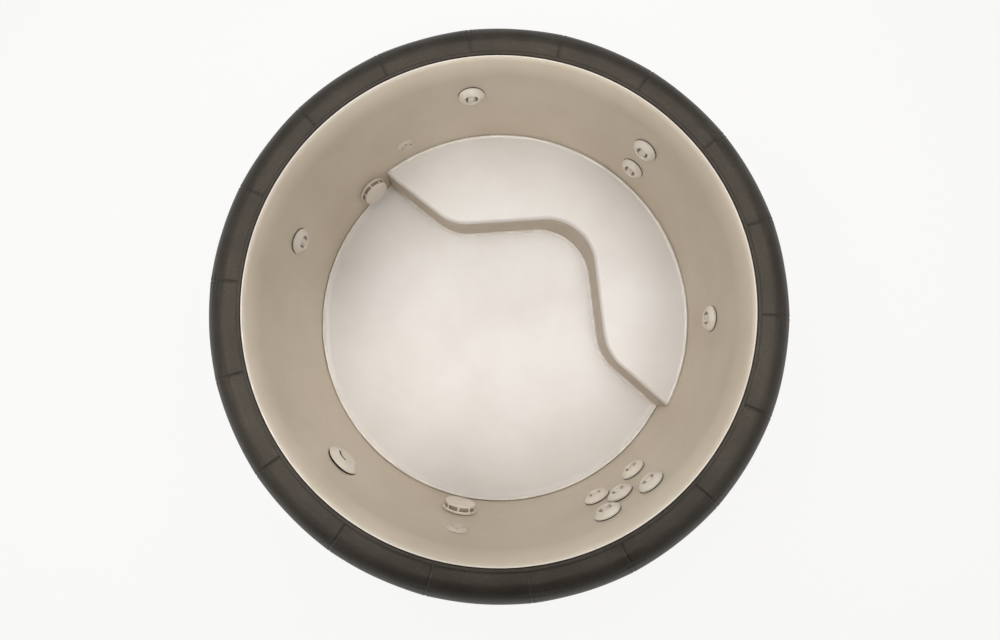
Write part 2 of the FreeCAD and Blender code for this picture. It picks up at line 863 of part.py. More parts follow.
def strainers():
    """Two suction strainers: bodies in the wall and slotted drum covers on them."""
    body = fitting_body(
        "strainer", "strainer_bore_radius", "strainer_flange_radius", (1,), "rear_radius", "suction_depth",
        "suction_barb_radius", "suction_barb_length"
    )
    back = "gasket_thickness + jet_flange_thickness"
    cup = turned(
        "strainer_cup",
        [
            ("strainer_flange_radius - strainer_lip", back),
            ("strainer_radius", back),
            ("strainer_radius", "%s + strainer_wall" % back),
            ("strainer_drum_radius", "%s + strainer_wall" % back),
            ("strainer_drum_radius", "strainer_depth - strainer_round", "strainer_round", 1),
            ("strainer_drum_radius - strainer_round", "strainer_depth"),
            ("0", "strainer_depth + strainer_crown"),
            ("0", "strainer_depth - strainer_wall"),
            ("strainer_drum_radius - strainer_wall", "strainer_depth - strainer_wall"),
            ("strainer_drum_radius - strainer_wall", "%s + strainer_wall" % back),
            ("strainer_flange_radius - strainer_lip", "%s + strainer_wall" % back),
        ],
    )
    slots = []
    DOCUMENT.recompute()
    low = number("%s + strainer_wall + strainer_slot_level" % back)
    for order in range(int(number("strainer_slot_count"))):
        width = number("strainer_slot_width")
        slot = Part.makeBox(number("strainer_radius"), width, number("strainer_slot_height"))
        slot.translate(FreeCAD.Vector(number("strainer_flange_radius - strainer_lip"), -width / 2, low))
        slot.rotate(FreeCAD.Vector(), AXIS_Z, (order + 0.5) * 360 / number("strainer_slot_count"))
        slots.append(slot)
    cover = cut("strainer_cover", cup, coded("strainer_slots", Part.makeCompound(slots)))
    DOCUMENT.recompute()
    keep(coded("strainer_bodies", placed(body, STRAINERS)), "strainer_bodies")
    keep(coded("strainer_covers", placed(cover, STRAINERS)), "strainer_covers")


def outlets():
    """Two small flush outlets with three holes each, fed from the air ring."""
    body = fitting_body(
        "outlet", "outlet_bore_radius", "outlet_radius - outlet_setback", (1,), "rear_radius", "pipe_depth",
        "barb_radius", "barb_length"
    )
    back = "gasket_thickness + jet_flange_thickness"
    inside = "outlet_radius - outlet_setback + soft_gap"
    cap = turned(
        "outlet_cap",
        [
            ("0", back),
            (inside, back),
            (inside, "outlet_edge_level"),
            ("outlet_radius", "outlet_edge_level"),
            ("outlet_radius - outlet_slope", "%s + outlet_thickness" % back),
            ("0", "%s + outlet_thickness" % back),
        ],
    )
    holes = []
    count = int(number("outlet_hole_count"))
    for order in range(count):
        hole = primitive(
            "Cylinder",
            "outlet_hole_%d" % order,
            Radius="outlet_hole_radius",
            Height="%s + 2 * outlet_thickness" % back,
        )
        turn = FreeCAD.Rotation(AXIS_Z, order * 180 / (count - 1) - 90)
        hole.Placement = FreeCAD.Placement(turn.multVec(AXIS_Y * number("outlet_hole_circle")), turn)
        holes.append(hole)
    cover = cut("outlet_cover", cap, fuse("outlet_holes", holes))
    DOCUMENT.recompute()
    keep(coded("outlet_bodies", placed(body, OUTLETS)), "outlet_bodies")
    keep(coded("outlet_caps", placed(cover, OUTLETS)), "outlet_caps")


def return_fitting():
    """Heated-water return: fixed body, and a low hood with a crescent mouth that swivels on it."""
    body = fitting_body(
        "return", "jet_bore_radius", "return_flange_radius", (-1,), "rear_radius", "pipe_depth",
        "barb_radius", "barb_length"
    )
    front = "%s + return_thickness" % FACE_BACK
    skirt = "jet_bore_radius - turning_gap"
    edge = "return_radius"
    shoulder = "(return_radius - return_bevel)"
    bulge = "(%s^2 + hood_rise^2) / (2 * hood_rise)" % shoulder
    disc = turned(
        "hood_disc",
        [
            ("jet_recess_radius", "-skirt_depth"),
            (skirt, "-skirt_depth"),
            (skirt, FACE_BACK),
            ("%s - face_lip" % edge, FACE_BACK),
            (edge, "%s + face_lip" % FACE_BACK, "face_edge", 1),
            ("%s - face_edge" % edge, "%s + face_lip + face_edge" % FACE_BACK),
            (shoulder, front, bulge, 1),
            ("0", "%s + hood_rise" % front),
            ("0", "%s - hood_wall" % front),
            ("jet_recess_radius", "%s - hood_wall" % front),
        ],
    )
    tall = "2 * (hood_rise + hood_wall)"
    opening = primitive(
        "Cylinder",
        "mouth_opening",
        place={"z": "%s - 2 * hood_wall" % front},
        Radius="mouth_radius",
        Height=tall,
    )
    cover = primitive(
        "Cylinder",
        "mouth_cover",
        place={"y": "-mouth_drop", "z": "%s - 2 * hood_wall" % front},
        Radius="mouth_radius",
        Height=tall,
    )
    hood = cut("hood", disc, cut("mouth", opening, cover))
    DOCUMENT.recompute()
    keep(coded("return_body", placed(body, ["return"]).Solids[0]), "return_body")
    keep(coded("return_hood", placed(hood, ["return"]).Solids[0]), "return_hood")


def other_seals():
    """Gaskets and nuts of the strainers, the outlets and the return."""
    kinds = (
        ("strainer", STRAINER_BARREL, "strainer_flange_radius - gasket_setback", STRAINERS),
        ("outlet", OUTLET_BARREL, "outlet_radius - outlet_setback - gasket_setback", OUTLETS),
        ("return", JET_BARREL, "return_flange_radius - gasket_setback", ["return"]),
    )
    made = []
    for kind, barrel, radius, names in kinds:
        gasket = fitting_gasket(kind + "_gasket", barrel, radius)
        nut = fitting_nut(kind + "_nut", barrel)
        made.append((gasket, nut, names))
    DOCUMENT.recompute()
    gaskets = [solid for gasket, nut, names in made for solid in placed(gasket, names).Solids]
    nuts = [solid for gasket, nut, names in made for solid in placed(nut, names).Solids]
    keep(coded("fitting_gaskets", Part.makeCompound(gaskets)), "fitting_gaskets")
    keep(coded("fitting_nuts", Part.makeCompound(nuts)), "fitting_nuts")


def pipe_line(name, way):
    """Point on a fitting's pipe axis and the direction of its hose end, up for 1 and down for -1."""
    place = wall_place(name)
    start = place.multVec(FreeCAD.Vector(0, 0, -number("pipe_depth")))
    lean = FreeCAD.Rotation(AXIS_Z, number("pipe_tilt")).multVec(AXIS_Y)
    return start, place.Rotation.multVec(lean) * way


def ring_main(name, names, way, level, ring, tube, stubs):
    """Ring pipe in the wall with a barb for each fitting that it feeds, and its hoses to them."""
    barb = number("barb_radius")
    wall = number("pipe_wall")
    rear = number("rear_radius")
    outside = [Part.makeTorus(ring, tube, AXIS_Z * level)]
    inside = [Part.makeTorus(ring, tube - wall, AXIS_Z * level)]
    hoses = []
    for fitting in names:
        start, ahead = pipe_line(fitting, way)
        length = (level - start.z) / ahead.z
        end = start + ahead * length
        tip = end - ahead * (tube + number("barb_length"))
        outside.append(rod(end, tip, barb))
        inside.append(rod(end, tip - ahead * BITE, barb - wall))
        near = start + ahead * (rear + number("hose_setback"))
        bore = barb + number("soft_gap")
        around = bore + number("hose_wall")
        dip = around * math.sin(math.radians(number("pipe_tilt")))
        far = end - ahead * ((tube + dip + number("hose_setback")) / (ahead.z * way))
        hose = rod(near, far, around)
        hoses.append(hose.cut(rod(near - ahead * BITE, far + ahead * BITE, bore)))
    for first, last, radius, open_end in stubs:
        outside.append(rod(first, last, radius))
        if open_end:
            inside.append(rod(first, last + (last - first).normalize() * BITE, radius - wall))
        else:
            inside.append(rod(first, last - (last - first).normalize() * wall, radius - wall))
    pipe = outside[0].multiFuse(outside[1:]).cut(inside[0].multiFuse(inside[1:]))
    keep(coded(name + "_ring", pipe.Solids[0]), name + "_ring")
    keep(coded(name + "_hoses", Part.makeCompound(hoses)), name + "_hoses")


STUB_END = "outer_radius - cover_thickness"
RING_RADIUS = "wall_radius + pipe_depth + ring_offset"
SUCTION_RADIUS = "wall_radius + suction_depth"


def plumbing():
    """Water ring, air ring and suction line in the pipe space between the foam layers."""
    angle = number("coupling_angle")
    water = number("water_ring_level")
    ring = number(RING_RADIUS)
    end = number(STUB_END)
    stub = number("stub_radius")
    stubs = [
        (outward(turn, ring, water), outward(turn, end, water), stub, True)
        for turn in (angle, number("drain_angle"))
    ]
    ring_main("water", JETS + ["return"], -1, water, ring, number("water_ring_tube"), stubs)
    air = number("%s - air_ring_drop" % RIM_BASE)
    drop = number("wall_radius + pipe_depth + air_drop_offset")
    low = number("air_port_level")
    wide = number("air_drop_radius")
    stubs = [
        (outward(angle, drop, air), outward(angle, drop, low - wide), wide, False),
        (outward(angle, drop, low), outward(angle, end, low), number("air_stub_radius"), True),
    ]
    ring_main("air", JETS + OUTLETS, 1, air, ring, number("air_ring_tube"), stubs)
    suction_line(angle, end, stub)


def suction_line(angle, end, stub):
    """Pipe that joins both strainers to the suction coupling."""
    level = number("suction_level")
    radius = number(SUCTION_RADIUS)
    tube = number("suction_tube")
    wall = number("pipe_wall")
    barb = number("suction_barb_radius + soft_gap")
    angles = [number(name + "_angle") for name in STRAINERS]
    sweep = angles[1] - angles[0]
    outside = []
    inside = []
    for pieces, size in ((outside, tube), (inside, tube - wall)):
        bend = Part.makeTorus(radius, size, AXIS_Z * level, AXIS_Z, -180, 180, sweep)
        bend.rotate(FreeCAD.Vector(), AXIS_Z, angles[0])
        pieces.append(bend)
    for name, turn in zip(STRAINERS, angles):
        foot = number(name + "_height + rear_radius + hose_setback")
        outside.append(rod(outward(turn, radius, level), outward(turn, radius, foot), tube))
        outside.append(Part.makeSphere(tube, outward(turn, radius, level)))
        inside.append(rod(outward(turn, radius, level), outward(turn, radius, foot - BITE), barb))
    outside.append(rod(outward(angle, radius, level), outward(angle, end, level), stub))
    inside.append(rod(outward(angle, radius, level), outward(angle, end + BITE, level), stub - wall))
    pipe = outside[0].multiFuse(outside[1:]).cut(inside[0].multiFuse(inside[1:]))
    keep(coded("suction_line", pipe.Solids[0]), "suction_line")


def coupling(name, angle, level, stub, port, length):
    """Flanged coupling on the outside of the cover, sleeved over a pipe's stub."""
    bore = "%s + soft_gap" % stub
    face = "outer_radius + soft_gap"
    inner = "%s - coupling_grip" % STUB_END
    body = turned(
        name + "_turned",
        [
            (bore, inner),
            ("%s + barrel_wall" % bore, inner),
            ("%s + barrel_wall" % bore, face),
            ("%s + barrel_wall + coupling_rim" % bore, face),
            ("%s + barrel_wall + coupling_rim" % bore, "%s + coupling_plate" % face),
            (port, "%s + coupling_plate" % face),
            (port, "%s + coupling_plate + %s" % (face, length)),
            (bore, "%s + coupling_plate + %s" % (face, length)),
        ],
    )
    return body, FreeCAD.Placement(
        AXIS_Z * number(level), FreeCAD.Rotation(AXIS_Z, number(angle)).multiply(FreeCAD.Rotation(AXIS_Y, 90))
    )


def couplings():
    """Suction, pressure and air couplings for a pump unit, one above another."""
    kinds = (
        ("suction_coupling", "suction_level", "stub_radius", "port_radius"),
        ("pressure_coupling", "water_ring_level", "stub_radius", "port_radius"),
        ("air_coupling", "air_port_level", "air_stub_radius", "air_port_radius"),
    )
    for name, level, stub, port in kinds:
        body, place = coupling(name, "coupling_angle", level, stub, port, "coupling_length")
        body.Placement = place
        keep(body, name)


def drain_valve():
    """Drain valve on the water ring with a handle that turns a quarter turn."""
    body, place = coupling(
        "valve", "drain_angle", "water_ring_level", "stub_radius", "valve_radius", "valve_length"
    )
    DOCUMENT.recompute()
    middle = number("outer_radius + soft_gap + coupling_plate + valve_length / 2")
    outer = number("outer_radius + soft_gap + coupling_plate + valve_length")
    angle = number("drain_angle")
    level = number("water_ring_level")
    boss = level + number("stem_boss_height")
    hub = number("handle_hub_height")
    gap = number("turning_gap")
    shape = body.Shape.copy()
    shape.Placement = place
    bore = number("stub_radius - pipe_wall")
    tip = outer + number("drain_port_length")
    port = number("drain_port_radius")
    nose = rod(outward(angle, outer - BITE, level), outward(angle, tip, level), port)
    filled = number("stub_radius + soft_gap")
    plug = rod(outward(angle, middle - bore, level), outward(angle, outer, level), filled)
    stem = rod(outward(angle, middle, level), outward(angle, middle, boss), number("stem_boss_radius"))
    pin = rod(outward(angle, middle, boss), outward(angle, middle, boss + hub), number("stem_radius"))
    shape = shape.multiFuse([nose, plug, stem, pin])
    keep(coded("drain_valve_body", shape.Solids[0]), "drain_valve_body")
    seat = boss + gap
    ring = rod(outward(angle, middle, seat), outward(angle, middle, seat + hub), number("handle_hub_radius"))
    bored = number("stem_radius + pin_gap")
    hole = rod(outward(angle, middle, boss), outward(angle, middle, boss + 2 * hub), bored)
    width = number("handle_width")
    lever = Part.makeBox(width, number("handle_length"), number("handle_thickness"))
    lever.translate(FreeCAD.Vector(middle - width / 2, 0, seat))
    lever.rotate(FreeCAD.Vector(), AXIS_Z, angle)
    keep(coded("drain_handle", ring.fuse(lever).cut(hole).Solids[0]), "drain_handle")


def wall_holes(extra):
    """Rods through the wall at every fitting, as wide as its barrel and an allowance."""
    barrels = {"jet": JET_BARREL, "strainer": STRAINER_BARREL, "outlet": OUTLET_BARREL, "return": JET_BARREL}
    reach = number("barrel_depth + pipe_depth")
    rods = []
    for name in PLACES:
        kind = name.split("_")[0]
        place = wall_place(name)
        radius = number("%s + %s" % (barrels[kind], extra))
        start = place.multVec(FreeCAD.Vector(0, 0, number("barrel_depth")))
        end = place.multVec(FreeCAD.Vector(0, 0, -reach))
        rods.append(rod(start, end, radius))
    return coded("wall_holes", rods[0].multiFuse(rods[1:]))


def pipe_holes():
    """Rods through the outer foam and the side cover at each coupling and at the drain."""
    rods = []
    for angle, level, stub in (
        ("coupling_angle", "suction_level", "stub_radius"),
        ("coupling_angle", "water_ring_level", "stub_radius"),
        ("coupling_angle", "air_port_level", "air_stub_radius"),
        ("drain_angle", "water_ring_level", "stub_radius"),
    ):
        radius = number("%s + barrel_wall + 2 * soft_gap" % stub)
        start = outward(number(angle), number(SUCTION_RADIUS), number(level))
        end = outward(number(angle), number("outer_radius + coupling_grip"), number(level))
        rods.append(rod(start, end, radius))
    return coded("pipe_holes", rods[0].multiFuse(rods[1:]))


def check_and_write():
    """Stop on any failed object or bad solid, then write one file for each sub-part."""
    DOCUMENT.recompute()
    for thing in DOCUMENT.Objects:
        if "Invalid" in thing.State or "Error" in thing.State:
            raise RuntimeError("failed: " + thing.Name)
    os.makedirs("parts", exist_ok=True)
    for node in NODES:
        if node.Shape.isNull() or not node.Shape.isValid() or not node.Shape.Solids:
            raise RuntimeError("bad shape: " + node.Label)
    for node in NODES:
        node.Shape.exportStep("parts/%s.step" % node.Label)
        print(node.Label, len(node.Shape.Solids), round(node.Shape.Volume / 1000, 1), "cm3")


fill_sheet()
base_layers()
liner_holes = wall_holes("soft_gap")
foam_holes = wall_holes("nut_wall + foam_clearance")
cover_holes = pipe_holes()
foam_wall(foam_holes, cover_holes)
rim_cushions()
rim_cover()
side_cover(cover_holes)
liner(liner_holes)
bench()
jets()
strainers()
outlets()
return_fitting()
other_seals()
plumbing()
couplings()
drain_valve()
check_and_write()
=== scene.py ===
import math

import bmesh
import bpy
from mathutils import Matrix, Vector, noise


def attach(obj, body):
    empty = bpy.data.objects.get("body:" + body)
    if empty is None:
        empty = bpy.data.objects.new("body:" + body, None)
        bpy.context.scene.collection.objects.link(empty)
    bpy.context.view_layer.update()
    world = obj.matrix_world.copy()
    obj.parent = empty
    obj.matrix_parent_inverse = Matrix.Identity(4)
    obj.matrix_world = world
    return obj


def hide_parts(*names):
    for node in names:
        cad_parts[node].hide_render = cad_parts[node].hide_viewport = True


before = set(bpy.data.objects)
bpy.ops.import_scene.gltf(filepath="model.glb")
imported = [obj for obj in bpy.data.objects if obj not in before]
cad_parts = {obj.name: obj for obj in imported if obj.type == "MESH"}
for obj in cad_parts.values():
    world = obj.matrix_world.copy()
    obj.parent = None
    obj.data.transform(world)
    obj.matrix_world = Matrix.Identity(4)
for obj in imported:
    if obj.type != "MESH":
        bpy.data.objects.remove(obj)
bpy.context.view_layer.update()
scene = bpy.context.scene
scene.view_settings.view_transform = "Standard"

# Set: a pale studio floor between white walls, soft boxes and small gridded spots above the tub, and
# a camera that looks down into it from a little to the near side of the middle.
CAMERA_PLACE = (0.0115, -0.2257, 2.2262)
CAMERA_TURN = (0.0991, 0.0039, 0.0)
CAMERA_LENS = 17.23
SENSOR_WIDTH = 36.0
STUDIO_HALF = 9.0
STUDIO_WHITE = (0.8, 0.8, 0.79, 1)
BACKDROP_WHITE = (1.0, 0.995, 0.985, 1)
BACKDROP_SHARE = 0.88
BACKDROP_LEVEL = 0.94
WORLD_TINT = (0.93, 0.96, 1.0, 1)
WORLD_LEVEL = 0.08
# In reflections the white walls fade into a dark ceiling as a ray climbs: 0 is level, 1 is upright
WALLS_LOW = 0.0
WALLS_HIGH = 0.25

eye = bpy.data.cameras.new("eye")
eye.lens = CAMERA_LENS
eye.sensor_width = SENSOR_WIDTH
camera = bpy.data.objects.new("eye", eye)
camera.location = CAMERA_PLACE
camera.rotation_euler = CAMERA_TURN
scene.collection.objects.link(camera)
scene.camera = camera


def add_node(owner, kind, inputs=None, **settings):
    """A shader node with its settings, its inputs linked or filled in."""
    node = owner.node_tree.nodes.new("ShaderNode" + kind)
    for key, value in settings.items():
        setattr(node, key, value)
    for key, value in (inputs or {}).items():
        if isinstance(value, bpy.types.NodeSocket):
            owner.node_tree.links.new(value, node.inputs[key])
        else:
            node.inputs[key].default_value = value
    return node


def sum_up(owner, operation, first, second):
    """One step of arithmetic on two values."""
    return add_node(owner, "Math", {0: first, 1: second}, operation=operation).outputs[0]


def seen_directly(owner, share, mirrored=1.0):
    """How much of the plain white shows: to the eye, in mirrors and glass, and not at all to light."""
    path = add_node(owner, "LightPath").outputs
    bounced = sum_up(owner, "MAXIMUM", path["Is Glossy Ray"], path["Is Transmission Ray"])
    bounced = sum_up(owner, "MULTIPLY", bounced, mirrored)
    seen = sum_up(owner, "MAXIMUM", path["Is Camera Ray"], bounced)
    return sum_up(owner, "MULTIPLY", seen, share)


studio_floor = bpy.data.materials.new("studio_floor")
studio_floor.use_nodes = True
studio_floor.node_tree.nodes.clear()
lit = add_node(studio_floor, "BsdfDiffuse", {"Color": STUDIO_WHITE})
plain = add_node(studio_floor, "Emission", {"Color": BACKDROP_WHITE})
mixed = add_node(studio_floor, "MixShader", {
    0: seen_directly(studio_floor, BACKDROP_SHARE), 1: lit.outputs[0], 2: plain.outputs[0]})
add_node(studio_floor, "OutputMaterial", {"Surface": mixed.outputs[0]})

bm = bmesh.new()
bmesh.ops.create_grid(bm, x_segments=1, y_segments=1, size=STUDIO_HALF)
floor_mesh = bpy.data.meshes.new("studio_floor")
bm.to_mesh(floor_mesh)
bm.free()
floor_mesh.materials.append(studio_floor)
ground = bpy.data.objects.new("studio_floor", floor_mesh)
scene.collection.objects.link(ground)

world = bpy.data.worlds.new("studio")
scene.world = world
world.use_nodes = True
world.node_tree.nodes.clear()
ambient = add_node(world, "Background", {"Color": WORLD_TINT, "Strength": WORLD_LEVEL})
backdrop = add_node(world, "Background", {"Color": BACKDROP_WHITE, "Strength": BACKDROP_LEVEL})
direction = add_node(world, "TexCoord").outputs["Generated"]
climb = add_node(world, "SeparateXYZ", {0: direction}).outputs["Z"]
white_walls = add_node(world, "MapRange", {
    "Value": climb, "From Min": WALLS_LOW, "From Max": WALLS_HIGH, "To Min": 1.0, "To Max": 0.0}).outputs[0]
sky = add_node(world, "MixShader", {
    0: seen_directly(world, 1.0, white_walls), 1: ambient.outputs[0], 2: backdrop.outputs[0]})
add_node(world, "OutputWorld", {"Surface": sky.outputs[0]})

# Each lamp: name, width, length, power in watts, spread in degrees, place, point that it faces
LAMPS = (
    ("far_box", 6.0, 3.4, 107.0, 180.0, (0.0, 1.7, 3.4), (0.0, 1.7, 0.0)),
    ("left_box", 2.0, 2.4, 53.0, 180.0, (-2.35, -0.75, 3.4), (-2.35, -0.75, 0.0)),
    ("right_box", 1.9, 2.0, 36.0, 180.0, (2.3, -0.8, 3.4), (2.3, -0.8, 0.0)),
    ("strip_box", 0.25, 1.2, 0.05, 20.0, (-0.235, -0.36, 3.2), (-0.2, -0.3, 0.0)),
    ("wall_spot", 1.2, 0.9, 1.05, 34.0, (0.0, -1.5, 2.9), (0.0, 0.8, 0.35)),
    ("right_spot", 0.6, 0.6, 0.28, 20.0, (0.3, 0.05, 3.3), (0.58, -0.10, 0.1)),
    ("left_spot", 0.6, 0.6, 0.62, 20.0, (0.4, 0.0, 3.3), (-0.58, -0.30, 0.05)),
    ("low_spot", 0.6, 0.6, 0.20, 20.0, (0.1, -0.25, 3.3), (0.24, -0.48, 0.05)),
)
LAMP_TINT = (1.0, 0.985, 0.96)
for name, width, length, power, spread_angle, place, target in LAMPS:
    lamp = bpy.data.lights.new(name, "AREA")
    lamp.shape = "RECTANGLE"
    lamp.size = width
    lamp.size_y = length
    lamp.energy = power
    lamp.spread = math.radians(spread_angle)
    lamp.color = LAMP_TINT
    holder = bpy.data.objects.new(name, lamp)
    holder.location = place
    holder.rotation_euler = (Vector(target) - Vector(place)).to_track_quat("-Z", "Y").to_euler()
    scene.collection.objects.link(holder)

# Ground sheet: a plain dark plastic sheet, glued under the foam base so that the tub can stand on
# rough ground. Only its edge can be seen.
SHEET_DARK = (0.012, 0.012, 0.012, 1)
SHEET_WORN = (0.03, 0.029, 0.027, 1)
SHEET_ROUGH = 0.6
# Moulded plastic: patterns per metre, where the two colours meet, grain and how the gloss varies
PLASTIC_CLOUDS = 14.0
PLASTIC_SHADE_END = 0.35
PLASTIC_TONE_START = 0.65
PLASTIC_GRAIN = 900.0
PLASTIC_RELIEF = 0.05
FINE_GRAIN = 0.0004
PLASTIC_GLOSSIER = 0.05
PLASTIC_DULLER = 0.07


def spread(owner, fac, *stops):
    """A colour ramp over a texture: each stop is a position and a colour."""
    ramp = add_node(owner, "ValToRGB", {"Fac": fac})
    points = ramp.color_ramp.elements
    points[0].position, points[0].color = stops[0]
    points[1].position, points[1].color = stops[-1]
    for position, colour in stops[1:-1]:
        points.new(position).color = colour
    return ramp.outputs["Color"]


def between(owner, fac, low, high):
    """A texture's value, spread over a range."""
    return add_node(owner, "MapRange", {"Value": fac, "To Min": low, "To Max": high}).outputs[0]


def new_finish(name):
    """An empty material, its Principled shader and the object's own coordinates."""
    finish = bpy.data.materials.new(name)
    finish.use_nodes = True
    shader = finish.node_tree.nodes["Principled BSDF"]
    return finish, shader, add_node(finish, "TexCoord").outputs["Object"]


def cloudy(finish, place, scale, detail, **inputs):
    """A noise pattern on the object's own coordinates."""
    settings = {"Vector": place, "Scale": scale, "Detail": detail, **inputs}
    return add_node(finish, "TexNoise", settings).outputs["Fac"]


def join(finish, shader, **links):
    """Link textures to the shader's sockets; underscores stand for spaces."""
    for socket, value in links.items():
        finish.node_tree.links.new(value, shader.inputs[socket.replace("_", " ")])


def moulded(name, shade, tone, rough, grain=PLASTIC_GRAIN, relief=PLASTIC_RELIEF):
    """Moulded plastic: two close colours in soft clouds, a fine sparked grain and uneven gloss."""
    finish, shader, place = new_finish(name)
    clouds = cloudy(finish, place, PLASTIC_CLOUDS, detail=3.0)
    sparks = cloudy(finish, place, grain, detail=2.0)
    bump = add_node(finish, "Bump", {"Height": sparks, "Strength": relief, "Distance": FINE_GRAIN})
    join(finish, shader,
         Base_Color=spread(finish, clouds, (PLASTIC_SHADE_END, shade), (PLASTIC_TONE_START, tone)),
         Roughness=between(finish, clouds, rough - PLASTIC_GLOSSIER, rough + PLASTIC_DULLER),
         Normal=bump.outputs[0])
    return finish


def dress(material, *nodes):
    """Give CAD nodes a finish."""
    for node in nodes:
        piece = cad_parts[node]
        for place in piece.material_slots:
            place.material = material


dress(moulded("ground_plastic", SHEET_DARK, SHEET_WORN, SHEET_ROUGH), "ground_sheet")

# Side cover: six sheets of dark grained vinyl, sewn edge to edge and pulled tight round the foam
# wall. Each seam is topstitched on both sides, and the vinyl puckers a little beside it.
OUTER_RADIUS = 0.977
COVER_FOOT = 0.003
COVER_TOP = 0.5557
COVER_THICK = 0.0025
FIRST_SEAM = math.radians(16.3)
SIDE_PANELS = 6
SIDE_ROWS = 34
# Fine steps of the mesh beside each seam, over this angle, and plain ones between
SIDE_SEAM_ZONE = math.radians(0.6)
SIDE_SEAM_STEPS = 5
SIDE_PLAIN_STEPS = 70
SEAM_GROOVE = 0.0032
SEAM_WIDTH = 0.0022
PUCKER_DEPTH = 0.0011
PUCKER_PITCH = 0.055
PUCKER_REACH = 0.05
PUCKER_START = 0.006
PUCKER_SHIFT = 3.0
SIDE_SLACK = 0.0012
SIDE_SLACK_SCALE = 4.0
STITCH_PITCH = 0.0085
STITCH_LENGTH = 0.0055
STITCH_WIDE = 0.0012
STITCH_BESIDE = 0.007
STITCH_SUNK = 0.0016
FIRST_STITCH_ROW = 3
VINYL_DARK = (0.0075, 0.0064, 0.0050, 1)
VINYL_MID = (0.014, 0.0120, 0.0096, 1)
VINYL_RUBBED = (0.026, 0.0225, 0.0183, 1)
VINYL_GLOSS = 0.66
VINYL_CLOUDS = 9.0
VINYL_PEBBLES = 310.0
VINYL_CREASES = 190.0
PEBBLE_RISE = 3.0
VINYL_RELIEF = 0.3
VINYL_GRAIN = 0.0006
VINYL_DARK_END = 0.15
VINYL_MID_AT = 0.25
VINYL_RUBBED_START = 0.38
VINYL_DULL = 0.58
VINYL_WORN = 0.42
SHEEN_TINT = (1.0, 0.885, 0.745, 1)
THREAD_DARK = (0.008, 0.0075, 0.006, 1)
THREAD_LIGHT = (0.020, 0.018, 0.015, 1)
THREAD_ROUGH = 0.7
THREAD_GRAIN = 2500.0
THREAD_RELIEF = 0.4
UP = Vector((0, 0, 1))


def grained_vinyl(name, dark, mid, rubbed, gloss=VINYL_GLOSS):
    """Leather-look vinyl: pebbled grain with fine creases, cloudy colour and rubbed high spots."""
    finish, shader, place = new_finish(name)
    clouds = cloudy(finish, place, VINYL_CLOUDS, detail=5.0)
    pebbles = add_node(finish, "TexVoronoi", {"Vector": place, "Scale": VINYL_PEBBLES},
                       feature="DISTANCE_TO_EDGE")
    creases = cloudy(finish, place, VINYL_CREASES, detail=6.0, Distortion=0.6)
    mound = between(finish, pebbles.outputs["Distance"], 0.0, PEBBLE_RISE)
    height = sum_up(finish, "ADD", mound, creases)
    bump = add_node(finish, "Bump", {"Height": height, "Strength": VINYL_RELIEF, "Distance": VINYL_GRAIN})
    speck = sum_up(finish, "MULTIPLY", clouds, creases)
    colour = spread(finish, speck, (VINYL_DARK_END, dark), (VINYL_MID_AT, mid), (VINYL_RUBBED_START, rubbed))
    join(finish, shader, Base_Color=colour,
         Roughness=between(finish, creases, VINYL_DULL, VINYL_WORN), Normal=bump.outputs[0])
    shader.inputs["Specular IOR Level"].default_value = gloss
    shader.inputs["Specular Tint"].default_value = SHEEN_TINT
    return finish


def copy_round(sheet, count):
    """Copy all that is in a bmesh round the tub's middle, up to a number of even places."""
    whole = sheet.verts[:] + sheet.edges[:] + sheet.faces[:]
    bmesh.ops.spin(sheet, geom=whole, cent=(0, 0, 0), axis=UP, angle=2 * math.pi * (count - 1) / count,
                   steps=count - 1, use_duplicate=True)


def panelled_sheet(section, panels, first_seam, seam_turn, seam_steps, plain_steps):
    """A ring spun from a section of (radius, height) points, with fine steps beside every seam."""
    sheet = bmesh.new()
    points = [sheet.verts.new((radius, 0, height)) for radius, height in section]
    runs = [sheet.edges.new(pair) for pair in zip(points, points[1:])]
    bmesh.ops.rotate(sheet, verts=points, cent=(0, 0, 0), matrix=Matrix.Rotation(first_seam, 3, "Z"))
    strip = points + runs
    plain_turn = 2 * math.pi / panels - 2 * seam_turn
    for turn, steps in ((seam_turn, seam_steps), (plain_turn, plain_steps), (seam_turn, seam_steps)):
        strip = bmesh.ops.spin(sheet, geom=strip, cent=(0, 0, 0), axis=UP, angle=turn,
                               steps=steps)["geom_last"]
    copy_round(sheet, panels)
    bmesh.ops.remove_doubles(sheet, verts=sheet.verts[:], dist=1e-5)
    return sheet


def face_out(sheet, outward):
    """Turn a ring's faces away from the tub's middle, or towards it."""
    bmesh.ops.recalc_face_normals(sheet, faces=sheet.faces[:])
    lean = sum(face.normal.dot(face.calc_center_median() * Vector((1, 1, 0))) for face in sheet.faces)
    if (lean > 0) != outward:
        bmesh.ops.reverse_faces(sheet, faces=sheet.faces[:])


def away_from_middle(point):
    """The level direction from the tub's middle to a point."""
    return Vector((point.x, point.y, 0)).normalized()


def spoke(turn):
    """The level direction at an angle round the tub."""
    return Vector((math.cos(turn), math.sin(turn), 0))


def share_of(value, whole):
    """A value as a share of a whole, kept between 0 and 1."""
    return min(1.0, max(0.0, value / whole))


def seam_distance(point, panels):
    """Distance along the ring from a point to the nearest seam, in metres."""
    pitch = 2 * math.pi / panels
    off = (math.atan2(point.y, point.x) - FIRST_SEAM) % pitch
    return min(off, pitch - off) * math.hypot(point.x, point.y)


